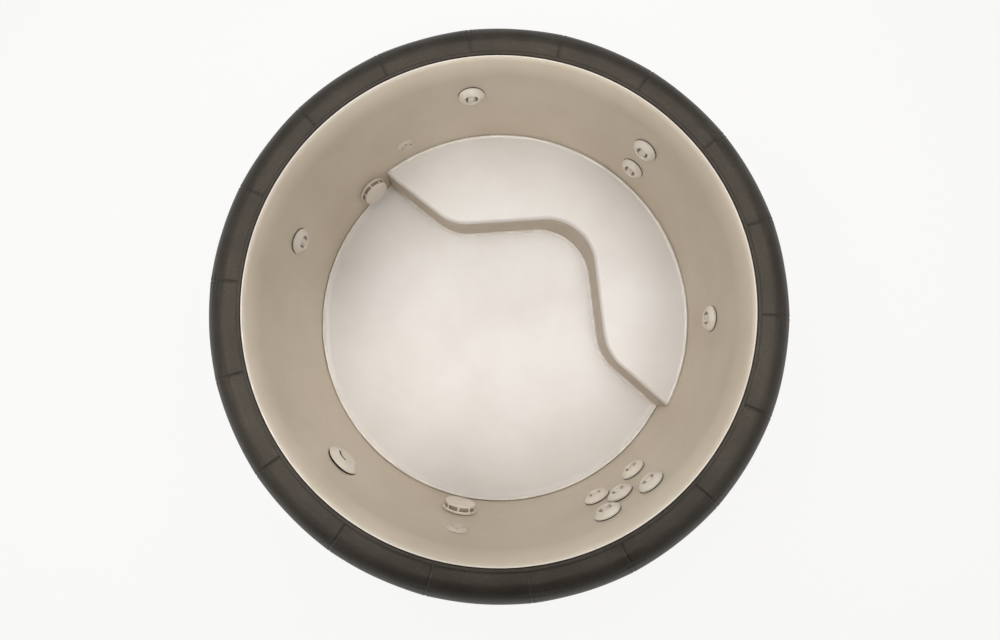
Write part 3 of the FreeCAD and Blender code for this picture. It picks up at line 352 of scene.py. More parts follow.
def piece_of(name, sheet, material, body="tub", thick=None):
    """Make a finished piece of a bmesh: smooth, in its finish, riding on its body."""
    mesh = bpy.data.meshes.new(name)
    sheet.to_mesh(mesh)
    sheet.free()
    mesh.shade_smooth()
    mesh.materials.append(material)
    piece = bpy.data.objects.new(name, mesh)
    scene.collection.objects.link(piece)
    if thick:
        wall = piece.modifiers.new("thickness", "SOLIDIFY")
        wall.thickness = thick
        wall.offset = -1
    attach(piece, body)
    return piece


def add_stitch(threads, spot, along, out):
    """One stitch of thread, lying along a direction on a surface that faces out."""
    across = out.cross(along).normalized()
    turn = Matrix((along.normalized(), across, out.normalized())).transposed().to_4x4()
    size = Matrix.Diagonal((STITCH_LENGTH / 2, STITCH_WIDE / 2, STITCH_WIDE / 2, 1))
    bmesh.ops.create_uvsphere(threads, u_segments=6, v_segments=4, radius=1,
                              matrix=Matrix.Translation(spot) @ turn @ size)


def stitch_run(threads, path, outs):
    """Stitches at an even pitch along a path of points, each with the way that its surface faces."""
    carry = 0.0
    for first, last, out in zip(path, path[1:], outs):
        run = (last - first).length
        while carry < run:
            add_stitch(threads, first.lerp(last, carry / run), last - first, out)
            carry += STITCH_PITCH
        carry -= run


cover_vinyl = grained_vinyl("cover_vinyl", VINYL_DARK, VINYL_MID, VINYL_RUBBED)
thread = moulded("sewing_thread", THREAD_DARK, THREAD_LIGHT, THREAD_ROUGH, THREAD_GRAIN, THREAD_RELIEF)

heights = [COVER_FOOT + (COVER_TOP - COVER_FOOT) * row / SIDE_ROWS for row in range(SIDE_ROWS + 1)]
bm = panelled_sheet([(OUTER_RADIUS, height) for height in heights], SIDE_PANELS, FIRST_SEAM,
                    SIDE_SEAM_ZONE, SIDE_SEAM_STEPS, SIDE_PLAIN_STEPS)
for vert in bm.verts:
    away = seam_distance(vert.co, SIDE_PANELS)
    out = away_from_middle(vert.co)
    groove = SEAM_GROOVE * math.exp(-(away / SEAM_WIDTH) ** 2)
    wave = math.sin(vert.co.z / PUCKER_PITCH * 2 * math.pi + PUCKER_SHIFT * out.x)
    ripple = PUCKER_DEPTH * (1 + wave) / 2
    pucker = ripple * math.exp(-away / PUCKER_REACH) * share_of(away, PUCKER_START)
    slack = SIDE_SLACK * (1 + noise.noise(vert.co * SIDE_SLACK_SCALE))
    vert.co -= out * (groove + pucker + slack)
face_out(bm, True)
side = piece_of("side_panels", bm, cover_vinyl, thick=COVER_THICK)
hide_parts("side_cover", "outer_foam_blocks", "base_foam")

bm = bmesh.new()
for beside in (-STITCH_BESIDE, STITCH_BESIDE):
    out = spoke(FIRST_SEAM + beside / OUTER_RADIUS)
    path = [out * (OUTER_RADIUS - STITCH_SUNK) + UP * height for height in heights[FIRST_STITCH_ROW:-1]]
    stitch_run(bm, path, [out] * len(path))
copy_round(bm, SIDE_PANELS)
piece_of("side_stitching", bm, thread)

# Hem and welt: a flat vinyl tape doubled round the foot of the side cover, and a vinyl-covered cord
# sewn in where the side cover meets the rim cover.
HEM_INSIDE = 0.9773
HEM_OUTSIDE = 0.9788
HEM_TOP = 0.043
HEM_SWAY = 0.0012
HEM_SWAY_SCALE = 5.0
HEM_STITCH_DROP = 0.007
WELT_RADIUS = 0.9768
WELT_LEVEL = 0.560
WELT_ROUND = 0.004
WELT_SIDES = 12
RING_STEPS = 360


def full_ring(section):
    """A closed ring spun once round from a closed section of (radius, height) points."""
    ring = bmesh.new()
    points = [ring.verts.new((radius, 0, height)) for radius, height in section]
    runs = [ring.edges.new(pair) for pair in zip(points, points[1:] + points[:1])]
    bmesh.ops.spin(ring, geom=points + runs, cent=(0, 0, 0), axis=UP, angle=2 * math.pi, steps=RING_STEPS,
                   use_merge=True)
    bmesh.ops.remove_doubles(ring, verts=ring.verts[:], dist=1e-6)
    bmesh.ops.recalc_face_normals(ring, faces=ring.faces[:])
    return ring


def stitch_ring(radius, height, out):
    """A row of stitches once round the tub."""
    threads = bmesh.new()
    add_stitch(threads, Vector((radius, 0, height)), Vector((0, 1, 0)), out)
    copy_round(threads, round(2 * math.pi * radius / STITCH_PITCH))
    return threads


hem_edge = (HEM_OUTSIDE - HEM_INSIDE) / 3
bm = full_ring([
    (HEM_INSIDE, COVER_FOOT), (HEM_OUTSIDE - hem_edge, COVER_FOOT), (HEM_OUTSIDE, COVER_FOOT + hem_edge),
    (HEM_OUTSIDE, HEM_TOP - 4 * hem_edge), (HEM_OUTSIDE - hem_edge, HEM_TOP - hem_edge),
    (HEM_INSIDE, HEM_TOP)])
for vert in bm.verts:
    if vert.co.z > HEM_TOP / 2:
        vert.co.z += HEM_SWAY * noise.noise(vert.co * HEM_SWAY_SCALE)
hem = piece_of("side_hem_tape", bm, cover_vinyl)
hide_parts("side_hem")

bm = full_ring([
    (WELT_RADIUS + WELT_ROUND * math.cos(turn), WELT_LEVEL + WELT_ROUND * math.sin(turn))
    for turn in (2 * math.pi * side_no / WELT_SIDES for side_no in range(WELT_SIDES))])
welt = piece_of("rim_welt_cord", bm, cover_vinyl)
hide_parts("rim_welt")

bm = stitch_ring(HEM_OUTSIDE, HEM_TOP - HEM_STITCH_DROP, Vector((1, 0, 0)))
piece_of("hem_stitching", bm, thread)

# Liner wall: one cylinder of cream vinyl inside the foam wall, turned out over the top of it and
# sewn to the rim cover there. It is cut out behind every fitting that goes through it.
WALL_RADIUS = 0.810
WALL_FOOT = 0.0485
SHOULDER = 0.050
SHOULDER_AXIS = 0.860
SHOULDER_LEVEL = 0.634
LINER_EDGE = 0.842
LINER_THICK = 0.002
# The liner is spun in quarters, each with one narrow step at its ends
QUARTERS = 4
QUARTER_END = math.radians(1)
WALL_ROWS = 58
WALL_STEPS = 124
SHOULDER_ROWS = 12
# The wall leans out on a wide round from this height, and turns over into the lip from this angle on
LEAN_FOOT = 0.606
LEAN_ROUND = 0.118
LEAN_TURN = 33.0
WALL_SWAY = 0.0009
WALL_SWAY_SCALE = Vector((3.4, 3.4, 2.2))
WALL_CALM = 0.1
WALL_SHADE = (0.588, 0.511, 0.410, 1)
WALL_TONE = (0.628, 0.551, 0.449, 1)
WALL_PALE = (0.658, 0.586, 0.484, 1)
WALL_ROUGH = 0.42
# The lip is coloured paler and less yellow than the wall: painted highlight of the lip that turns up towards
# the light
LIP_START = 0.8378
LIP_SHADE = (0.720, 0.655, 0.575, 1)
LIP_TONE = (0.770, 0.712, 0.640, 1)
LIP_PALE = (0.800, 0.750, 0.685, 1)
LIP_ROUGH = 0.36
# Liner vinyl: patterns per metre, where its colours meet, relief and how the gloss varies
LINER_CLOUDS = 3.2
LINER_GRAIN = 620.0
LINER_WAVES = 11.0
LINER_SHADE_END = 0.3
LINER_TONE_AT = 0.5
LINER_PALE_START = 0.72
WAVE_RELIEF = 0.12
WAVE_DEPTH = 0.004
LINER_RELIEF = 0.10
LINER_GLOSS = 0.4
LINER_GLOSSIER = 0.06
LINER_DULLER = 0.08
# Places of the fittings on the wall: angle round the tub in degrees and height of the middle
JET_SPOTS = (
    (97.4, 0.505), (46.9, 0.493), (47.1, 0.324), (357.2, 0.409), (161.3, 0.430),
    (310.2, 0.544), (309.9, 0.335), (302.9, 0.447), (297.5, 0.350), (297.4, 0.540),
)
STRAINER_SPOTS = ((135.0, 0.150), (258.5, 0.243))
OUTLET_SPOTS = ((119.1, 0.290), (259.4, 0.460))
RETURN_SPOT = (224.7, 0.431)
LARGE_HOLE = 0.034
SMALL_HOLE = 0.027


def liner_finish(name, shade, tone, pale, rough):
    """Cream vinyl: faint clouds of colour, a fine matt grain and long soft waves in the gloss."""
    finish, shader, place = new_finish(name)
    clouds = cloudy(finish, place, LINER_CLOUDS, detail=5.0, Roughness=0.55)
    grain = cloudy(finish, place, LINER_GRAIN, detail=3.0)
    waves = cloudy(finish, place, LINER_WAVES, detail=1.0)
    soft = add_node(finish, "Bump", {"Height": waves, "Strength": WAVE_RELIEF, "Distance": WAVE_DEPTH})
    bump = add_node(finish, "Bump", {
        "Height": grain, "Strength": LINER_RELIEF, "Distance": FINE_GRAIN, "Normal": soft.outputs[0]})
    colour = spread(finish, clouds, (LINER_SHADE_END, shade), (LINER_TONE_AT, tone), (LINER_PALE_START, pale))
    join(finish, shader, Base_Color=colour,
         Roughness=between(finish, waves, rough - LINER_GLOSSIER, rough + LINER_DULLER),
         Normal=bump.outputs[0])
    shader.inputs["Specular IOR Level"].default_value = LINER_GLOSS
    return finish


def arc_points(axis, level, radius, start, end, steps):
    """Section points on an arc, from one angle in degrees to another, without its first point."""
    turns = [math.radians(start + (end - start) * step / steps) for step in range(1, steps + 1)]
    return [(axis + radius * math.cos(turn), level + radius * math.sin(turn)) for turn in turns]


def wall_point(angle, height):
    """A point on the liner wall, from its angle in degrees and its height."""
    turn = math.radians(angle)
    return Vector((WALL_RADIUS * math.cos(turn), WALL_RADIUS * math.sin(turn), height))


wall_vinyl = liner_finish("wall_vinyl", WALL_SHADE, WALL_TONE, WALL_PALE, WALL_ROUGH)
edge_turn = math.degrees(math.acos((LINER_EDGE - SHOULDER_AXIS) / SHOULDER))
edge_level = SHOULDER_LEVEL + SHOULDER * math.sin(math.radians(edge_turn))
section = [
    (WALL_RADIUS, WALL_FOOT + (LEAN_FOOT - WALL_FOOT) * row / WALL_ROWS) for row in range(WALL_ROWS + 1)]
section += arc_points(WALL_RADIUS + LEAN_ROUND, LEAN_FOOT, LEAN_ROUND, 180, 180 - LEAN_TURN, SHOULDER_ROWS)
out_left = LINER_EDGE - section[-1][0]
up_left = edge_level - section[-1][1]
lip_turn = 2 * math.degrees(math.atan2(out_left, up_left)) - LEAN_TURN
lip_round = out_left / (math.cos(math.radians(LEAN_TURN)) - math.cos(math.radians(lip_turn)))
lip_axis = section[-1][0] + lip_round * math.cos(math.radians(LEAN_TURN))
lip_level = section[-1][1] - lip_round * math.sin(math.radians(LEAN_TURN))
section += arc_points(lip_axis, lip_level, lip_round, 180 - LEAN_TURN, 180 - lip_turn, SHOULDER_ROWS)
bm = panelled_sheet(section, QUARTERS, first_seam=0.0, seam_turn=QUARTER_END, seam_steps=1,
                    plain_steps=WALL_STEPS)
# Faces out past LIP_START get the lip's paler finish: painted highlight
for face in bm.faces:
    face.material_index = int(face.calc_center_median().to_2d().length > LIP_START)
holes = [(spot, LARGE_HOLE) for spot in JET_SPOTS + (RETURN_SPOT,)]
holes += [(spot, SMALL_HOLE) for spot in STRAINER_SPOTS + OUTLET_SPOTS]
cut_out = []
for spot, hole in holes:
    middle = wall_point(*spot)
    cut_out += [face for face in bm.faces if (face.calc_center_median() - middle).length < hole]
bmesh.ops.delete(bm, geom=cut_out, context="FACES")
for vert in bm.verts:
    calm = share_of(SHOULDER_LEVEL - vert.co.z, WALL_CALM)
    vert.co += away_from_middle(vert.co) * WALL_SWAY * calm * noise.noise(vert.co * WALL_SWAY_SCALE)
face_out(bm, False)
wall = piece_of("liner_wall_vinyl", bm, wall_vinyl, thick=LINER_THICK)
# The second finish on the liner is the paler lip: painted highlight
wall.data.materials.append(liner_finish("lip_painted_highlight", LIP_SHADE, LIP_TONE, LIP_PALE, LIP_ROUGH))
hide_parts("liner_wall", "inner_foam_blocks")

# Liner floor: a round sheet of the same cream vinyl over the foam base, welded to the wall with a
# rounded bead all along its edge.
FLOOR_LEVEL = 0.050
FLOOR_EDGE = 0.8094
FLOOR_EDGE_DROP = 0.001
FLOOR_THICK = 0.0016
BEAD_NEAR = 0.7990
BEAD_FAR = 0.8088
BEAD_RISE = 0.0052
BEAD_STEPS = 8
FLOOR_RINGS = 34
FLOOR_STEPS = 78
FLOOR_SWAY = 0.0009
FLOOR_SWAY_SCALE = 4.2
FLOOR_CALM = 0.05
FLOOR_SHADE = (0.664, 0.629, 0.598, 1)
FLOOR_TONE = (0.704, 0.673, 0.645, 1)
FLOOR_PALE = (0.734, 0.709, 0.685, 1)
FLOOR_ROUGH = 0.36
# The weld bead finish is paler than the floor vinyl: painted highlight along the glossy bead
BEAD_SHADE = (0.780, 0.735, 0.675, 1)
BEAD_TONE = (0.840, 0.800, 0.745, 1)
BEAD_ROUGH = 0.26


def face_along(sheet, way):
    """Turn a sheet's faces to look along a direction."""
    bmesh.ops.recalc_face_normals(sheet, faces=sheet.faces[:])
    if sum(face.normal.dot(way) for face in sheet.faces) < 0:
        bmesh.ops.reverse_faces(sheet, faces=sheet.faces[:])


bead_painted_highlight = moulded("bead_painted_highlight", BEAD_SHADE, BEAD_TONE, BEAD_ROUGH)
floor_vinyl = liner_finish("floor_vinyl", FLOOR_SHADE, FLOOR_TONE, FLOOR_PALE, FLOOR_ROUGH)
section = [(BEAD_NEAR * ring_no / FLOOR_RINGS, FLOOR_LEVEL) for ring_no in range(FLOOR_RINGS + 1)]
half_bead = (BEAD_FAR - BEAD_NEAR) / 2
section += [
    (BEAD_NEAR + half_bead * (1 - math.cos(turn)), FLOOR_LEVEL + BEAD_RISE * math.sin(turn))
    for turn in (math.pi * step / BEAD_STEPS for step in range(1, BEAD_STEPS))]
section += [(radius, FLOOR_LEVEL - FLOOR_EDGE_DROP) for radius in (BEAD_FAR, FLOOR_EDGE)]
bm = panelled_sheet(section, QUARTERS, first_seam=0.0, seam_turn=QUARTER_END, seam_steps=1,
                    plain_steps=FLOOR_STEPS)
for face in bm.faces:
    # Faces on the bead and on the edge beyond it get the bead finish with its painted highlight
    face.material_index = int(face.calc_center_median().to_2d().length > BEAD_NEAR)
for vert in bm.verts:
    calm = share_of(BEAD_NEAR - vert.co.to_2d().length, FLOOR_CALM)
    vert.co.z -= FLOOR_SWAY * calm * (1 + noise.noise(vert.co * FLOOR_SWAY_SCALE)) / 2
face_along(bm, UP)
floor_sheet = piece_of("liner_floor_vinyl", bm, floor_vinyl, thick=FLOOR_THICK)
floor_sheet.data.materials.append(bead_painted_highlight)
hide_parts("liner_floor")

# Bench: cream vinyl drawn tight over a foam block that fills one side of the tub, its front edge an
# S. The vinyl is welded to the floor along the front and to the wall along the back.
# The front, below its top few rows, is coloured a darker brown than the top: painted shade of the steep face
BENCH_TOP = 0.185
BENCH_LEAN = 0.012
BENCH_ROUND = 0.012
BENCH_REACH = 0.8092
BENCH_CORNERS = ((-0.640, 0.733), (-0.211, 0.390), (0.388, 0.429), (0.450, -0.168), (0.820, -0.497))
BENCH_BENDS = (0.200, 0.200, 0.220)
# How each bend grows as the front moves in: an inner bend shrinks and an outer one grows
BEND_GROWTH = (-1, 1, -1)
BAY_SWEEP = 0.040
BENCH_COLUMNS = 260
BEND_STEPS = 20
FRONT_ROWS = 18
FRONT_BULGE = 0.0040
FRONT_FOLDS = 2
FRONT_FULLNESS = 0.6
# Rows at the top of the front that keep the floor vinyl, above the painted shade
FRONT_LIGHT_ROWS = 2
FRONT_LIFT = 0.0006
ROUND_STEPS = 8
# Top of the bench: share of the way from the front edge to the wall
TOP_SHARES = (0.02, 0.05, 0.1, 0.17, 0.25, 0.34, 0.43, 0.52, 0.61, 0.7, 0.78, 0.86, 0.92, 0.96, 0.98)
# Welds: distance from the corner and height of the bead there
FOOT_BEAD = ((-0.0125, 0.0002), (-0.0118, 0.0026), (-0.0090, 0.0040), (-0.0058, 0.0028), (-0.0040, 0.0006))
BACK_BEAD = (
    (0.0130, 0.0), (0.0110, 0.0022), (0.0080, 0.0036), (0.0050, 0.0022), (0.0036, -0.0016), (0.0, -0.0016))
# The top sinks a little, from this height on and fully a little above it
BENCH_SLACK = 0.0005
BENCH_SLACK_SCALE = 5.0
SLACK_LEVEL = 0.15
SLACK_OVER = 0.03
# Painted shade: darker brown colours for the steep front of the bench
FRONT_PAINTED_SHADE = (0.430, 0.368, 0.296, 1)
FRONT_PAINTED_TONE = (0.470, 0.405, 0.330, 1)
FRONT_PAINTED_PALE = (0.500, 0.435, 0.360, 1)
FRONT_ROUGH = 0.42


def shifted_corners(corners, shift):
    """The corners of a path moved to its left by a distance."""
    sides = [(Vector(b) - Vector(a)).normalized() for a, b in zip(corners, corners[1:])]
    lefts = [Vector((-side.y, side.x)) for side in sides]
    moved = [Vector(corners[0]) + lefts[0] * shift]
    for corner, before, after in zip(corners[1:-1], lefts, lefts[1:]):
        moved.append(Vector(corner) + (before + after) * shift / (1 + before.dot(after)))
    return moved + [Vector(corners[-1]) + lefts[-1] * shift]


def rounded_path(corners, bends):
    """A path through its corners with each one rounded to a radius."""
    path = [corners[0]]
    for before, corner, after, bend in zip(corners, corners[1:], corners[2:], bends):
        come = (corner - before).normalized()
        go = (after - corner).normalized()
        side = math.copysign(1, come.x * go.y - come.y * go.x)
        turn = math.acos(max(-1.0, min(1.0, come.dot(go))))
        start = corner - come * bend * math.tan(turn / 2)
        axis = start + Vector((-come.y, come.x)) * side * bend
        for step in range(BEND_STEPS + 1):
            arm = (start - axis).to_3d()
            arm.rotate(Matrix.Rotation(side * turn * step / BEND_STEPS, 3, "Z"))
            path.append(axis + arm.to_2d())
    return path + [corners[-1]]


def on_circle(inside, outside, radius):
    """Where the line from a point inside a circle to one outside crosses it."""
    way = outside - inside
    a, b, c = way.dot(way), 2 * inside.dot(way), inside.dot(inside) - radius * radius
    return inside + way * (-b + math.sqrt(b * b - 4 * a * c)) / (2 * a)


def even_points(path, count):
    """Points spaced evenly along a path."""
    spans = [(b - a).length for a, b in zip(path, path[1:])]
    total = sum(spans)
    points, span_no, passed = [], 0, 0.0
    for step in range(count):
        aim = min(total * step / (count - 1), total - 1e-9)
        while passed + spans[span_no] < aim:
            passed += spans[span_no]
            span_no += 1
        points.append(path[span_no].lerp(path[span_no + 1], (aim - passed) / spans[span_no]))
    return points


def bench_row(height, shift, share=0.0):
    """The bench's front line at a height, moved in by a distance, at a share of the way up the front."""
    bends = [bend + growth * shift for bend, growth in zip(BENCH_BENDS, BEND_GROWTH)]
    bends[1] += BAY_SWEEP * (1 - share)
    path = rounded_path(shifted_corners(BENCH_CORNERS, shift), bends)
    inside = [point for point in path if point.length < BENCH_REACH]
    first = on_circle(inside[0], path[0], BENCH_REACH)
    last = on_circle(inside[-1], path[-1], BENCH_REACH)
    return [point.to_3d() + UP * height for point in even_points([first] + inside + [last], BENCH_COLUMNS)]


rows = [bench_row(FLOOR_LEVEL + rise, shift) for shift, rise in FOOT_BEAD]
front_height = BENCH_TOP - BENCH_ROUND - FLOOR_LEVEL
for row in range(FRONT_ROWS):
    share = row / (FRONT_ROWS - 1)
    bulge = FRONT_BULGE * abs(math.sin(math.pi * FRONT_FOLDS * share)) ** FRONT_FULLNESS
    height = FLOOR_LEVEL + FRONT_LIFT + front_height * share
    rows.append(bench_row(height, BENCH_LEAN * share - bulge, share))
for step in range(1, ROUND_STEPS + 1):
    turn = math.pi / 2 * step / ROUND_STEPS
    height = BENCH_TOP - BENCH_ROUND * (1 - math.sin(turn))
    rows.append(bench_row(height, BENCH_LEAN + BENCH_ROUND * (1 - math.cos(turn)), 1.0))
top_edge = rows[-1]
start_turn = math.atan2(top_edge[0].y, top_edge[0].x)
end_turn = math.atan2(top_edge[-1].y, top_edge[-1].x)
last_column = BENCH_COLUMNS - 1
outs = [
    spoke(start_turn + (end_turn - start_turn) * column / last_column) for column in range(BENCH_COLUMNS)]
back_edge = [out * (BENCH_REACH - BACK_BEAD[0][0]) + UP * BENCH_TOP for out in outs]
for share in TOP_SHARES:
    rows.append([near.lerp(far, share) for near, far in zip(top_edge, back_edge)])
for gap, rise in BACK_BEAD:
    rows.append([out * (BENCH_REACH - gap) + UP * (BENCH_TOP + rise) for out in outs])

bm = bmesh.new()
last_row = len(rows) - 1
bmesh.ops.create_grid(bm, x_segments=last_column, y_segments=last_row, size=1)
# Rows of the front from the foot bead up to here get the painted shade
front_shade_end = len(FOOT_BEAD) + FRONT_ROWS - FRONT_LIGHT_ROWS
# Foot and back welds get the paler bead finish, a painted highlight
for face in bm.faces:
    row = (face.calc_center_median().y + 1) / 2 * last_row
    if row < len(FOOT_BEAD) or row > len(rows) - len(BACK_BEAD):
        face.material_index = 1
    elif row < front_shade_end:
        face.material_index = 2
for vert in bm.verts:
    column = round((vert.co.x + 1) / 2 * last_column)
    row = round((vert.co.y + 1) / 2 * last_row)
    vert.co = rows[row][column]
    slack = BENCH_SLACK * (1 + noise.noise(vert.co * BENCH_SLACK_SCALE))
    vert.co.z -= slack * share_of(vert.co.z - SLACK_LEVEL, SLACK_OVER)
bmesh.ops.remove_doubles(bm, verts=bm.verts[:], dist=1e-5)
face_along(bm, UP)
bench = piece_of("bench_vinyl", bm, floor_vinyl, thick=FLOOR_THICK)
bench.data.materials.append(bead_painted_highlight)
bench.data.materials.append(liner_finish("bench_front_painted_shade", FRONT_PAINTED_SHADE, FRONT_PAINTED_TONE, FRONT_PAINTED_PALE, FRONT_ROUGH))
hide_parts("bench_skin", "bench_foam")

# Rim cover: eighteen panels of the dark vinyl, sewn edge to edge over foam cushions so that the rim
# can be sat on. The seams run straight from the inside to the outside.
RIM_PANELS = 18
RIM_FOOT = 0.5643
RIM_FOOT_STEPS = 5
RIM_TOP = 0.690
OUTER_SHOULDER = 0.085
OUTER_AXIS = 0.892
OUTER_LEVEL = 0.605
OUTER_STEPS = 26
RIM_INNER = 0.8423
RIM_INNER_STEPS = 6
FLAT_STEPS = 10
FLAT_CURVE = 1.5
RIM_SEAM_ZONE = math.radians(0.9)
RIM_SEAM_STEPS = 7
RIM_PLAIN_STEPS = 26
PANEL_DIP = 0.0012
SIDE_GROOVE_LOSS = 0.7
RIM_PUCKER = 0.0009
RIM_PUCKER_PITCH = 0.030
RIM_PUCKER_REACH = 0.045
RIM_PUCKER_SCALE = 9.0
RIM_PUCKER_EVEN = 0.5
RIM_SWAY = 0.0009
RIM_SWAY_SCALE = 6.0
RIM_SUNK = 0.0004
STITCH_MARGIN = 2

foot_rise = OUTER_LEVEL - RIM_FOOT
section = [(OUTER_RADIUS, RIM_FOOT + foot_rise * row / RIM_FOOT_STEPS) for row in range(RIM_FOOT_STEPS + 1)]
section += arc_points(OUTER_AXIS, OUTER_LEVEL, OUTER_SHOULDER, 0, 90, OUTER_STEPS)
flat_drop = SHOULDER_LEVEL + SHOULDER - RIM_TOP
for step in range(1, FLAT_STEPS + 1):
    share = step / FLAT_STEPS
    radius = OUTER_AXIS + (SHOULDER_AXIS - OUTER_AXIS) * share
    section.append((radius, RIM_TOP + flat_drop * share ** FLAT_CURVE))
rim_turn = math.degrees(math.acos((RIM_INNER - SHOULDER_AXIS) / SHOULDER))
section += arc_points(SHOULDER_AXIS, SHOULDER_LEVEL, SHOULDER, 90, rim_turn, RIM_INNER_STEPS)
bm = panelled_sheet(section, RIM_PANELS, FIRST_SEAM, RIM_SEAM_ZONE, RIM_SEAM_STEPS, RIM_PLAIN_STEPS)
face_out(bm, True)
bm.normal_update()
half_panel = math.pi * OUTER_RADIUS / RIM_PANELS
moves = []
for vert in bm.verts:
    away = seam_distance(vert.co, RIM_PANELS)
    share = share_of(away, half_panel)
    along = vert.co.z - vert.co.to_2d().length
    sideways = max(0.0, away_from_middle(vert.co).dot(vert.normal))
    groove = SEAM_GROOVE * math.exp(-(away / SEAM_WIDTH) ** 2) * (1 - SIDE_GROOVE_LOSS * sideways)
    pucker = RIM_PUCKER * math.exp(-away / RIM_PUCKER_REACH)
    pucker *= math.sin(2 * math.pi * along / RIM_PUCKER_PITCH)
    pucker *= RIM_PUCKER_EVEN + noise.noise(vert.co * RIM_PUCKER_SCALE)
    dip = PANEL_DIP * share * (2 - share) * sideways
    sway = RIM_SWAY * noise.noise(vert.co * RIM_SWAY_SCALE) * share
    moves.append(vert.normal * (pucker + sway - groove - dip - RIM_SUNK))
for vert, move in zip(bm.verts, moves):
    vert.co += move
rim = piece_of("rim_panels", bm, cover_vinyl, thick=COVER_THICK)
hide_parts("rim_cover", "rim_cushions")

bm = bmesh.new()
out = spoke(FIRST_SEAM)
sewn_rows = range(STITCH_MARGIN, len(section) - STITCH_MARGIN)
slopes = []
for row in sewn_rows:
    before, after = section[row - 1], section[row + 1]
    slope = Vector((after[1] - before[1], 0, before[0] - after[0])).normalized()
    slopes.append(out * slope.x + UP * slope.z)
for beside in (-STITCH_BESIDE, STITCH_BESIDE):
    across = Vector((-out.y, out.x, 0)) * beside
    path = [out * section[row][0] + across + UP * section[row][1] for row in sewn_rows]
    stitch_run(bm, path, slopes)
copy_round(bm, RIM_PANELS)
piece_of("rim_stitching", bm, thread)

# Binding: a narrow vinyl tape folded over the joint of rim cover and liner, and sewn down all round
# the inside of the rim. Its turned inner edge is coloured darker: partly the tape's own dark edge, partly
# painted shade of the shadow line beside the liner.
TAPE_UNDER = 0.0503
TAPE_OVER = 0.0518
TAPE_NEAR = 0.8420
TAPE_FAR = 0.8550
TAPE_STEPS = 8
# Width of the darker inner edge: partly the tape's own edge, partly painted shade
TAPE_SHADED_EDGE = 0.0034
# Angles in degrees by which the upper face passes the edges and the lower face stays short of them
TAPE_PAST = 0.7
TAPE_SHORT = 0.4
TAPE_STITCH_IN = 4
TAPE_DARK = (0.006, 0.0048, 0.0036, 1)
TAPE_MID = (0.012, 0.0098, 0.0076, 1)
TAPE_RUBBED = (0.022, 0.0186, 0.0150, 1)
TAPE_GLOSS = 0.3

near_turn = math.degrees(math.acos((TAPE_NEAR - SHOULDER_AXIS) / TAPE_OVER))
far_turn = math.degrees(math.acos((TAPE_FAR - SHOULDER_AXIS) / TAPE_OVER))
section = arc_points(SHOULDER_AXIS, SHOULDER_LEVEL, TAPE_OVER,
                     near_turn - TAPE_PAST, far_turn + TAPE_PAST, TAPE_STEPS)
section += arc_points(SHOULDER_AXIS, SHOULDER_LEVEL, TAPE_UNDER,
                      far_turn - TAPE_SHORT, near_turn + TAPE_SHORT, TAPE_STEPS)
bm = full_ring(section)
# Faces along the inner edge get the darker finish: partly the tape's own edge, partly painted shade
for face in bm.faces:
    face.material_index = int(face.calc_center_median().to_2d().length < TAPE_NEAR + TAPE_SHADED_EDGE)
tape = piece_of("binding_tape", bm, cover_vinyl)
tape.data.materials.append(grained_vinyl("tape_edge_painted_shade", TAPE_DARK, TAPE_MID, TAPE_RUBBED, TAPE_GLOSS))
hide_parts("rim_binding")

row_turn = math.radians(far_turn + TAPE_STITCH_IN)
out = Vector((math.cos(row_turn), 0, math.sin(row_turn)))
bm = stitch_ring(SHOULDER_AXIS + TAPE_OVER * out.x, SHOULDER_LEVEL + TAPE_OVER * out.z, out)
piece_of("binding_stitching", bm, thread)

# Plumbing: grey plastic pipe rings and ribbed hoses inside the wall, and the black rubber gaskets
# that are pressed against the liner behind the fittings. All are hidden once the tub is made.
PIPE_SHADE = (0.60, 0.60, 0.58, 1)
PIPE_TONE = (0.68, 0.68, 0.66, 1)
PIPE_ROUGH = 0.45
HOSE_SHADE = (0.42, 0.42, 0.40, 1)
HOSE_TONE = (0.50, 0.50, 0.48, 1)
HOSE_ROUGH = 0.4
RUBBER_SHADE = (0.012, 0.012, 0.012, 1)
RUBBER_TONE = (0.024, 0.023, 0.022, 1)
RUBBER_ROUGH = 0.65

dress(moulded("pipe_plastic", PIPE_SHADE, PIPE_TONE, PIPE_ROUGH), "water_ring", "air_ring", "suction_line")
dress(moulded("hose_plastic", HOSE_SHADE, HOSE_TONE, HOSE_ROUGH), "water_hoses", "air_hoses")
dress(moulded("gasket_rubber", RUBBER_SHADE, RUBBER_TONE, RUBBER_ROUGH), "jet_gaskets", "fitting_gaskets")

# Wall fittings: jets, strainers, outlets and the return, all injection-moulded in cream-grey plastic
# and screwed through the liner with a nut behind it.
FITTING_SHADE = (0.730, 0.668, 0.585, 1)
FITTING_TONE = (0.785, 0.725, 0.645, 1)
FITTING_ROUGH = 0.34
BORE_SHADE = (0.050, 0.042, 0.033, 1)
BORE_TONE = (0.080, 0.068, 0.055, 1)
BORE_ROUGH = 0.5
OUTLET_SHADE = (0.640, 0.566, 0.478, 1)
OUTLET_TONE = (0.690, 0.618, 0.530, 1)
OUTLET_ROUGH = 0.4

fitting_plastic = moulded("fitting_plastic", FITTING_SHADE, FITTING_TONE, FITTING_ROUGH)
body_plastic = moulded("body_plastic", BORE_SHADE, BORE_TONE, BORE_ROUGH)
for number in range(1, len(JET_SPOTS) + 1):
    dress(fitting_plastic, "jet_face_%d" % number, "jet_nozzle_%d" % number)
dress(fitting_plastic, "strainer_covers", "strainer_bodies", "fitting_nuts", "jet_nuts")
dress(moulded("outlet_plastic", OUTLET_SHADE, OUTLET_TONE, OUTLET_ROUGH), "outlet_caps")
dress(body_plastic, "jet_bodies", "return_body", "outlet_bodies")

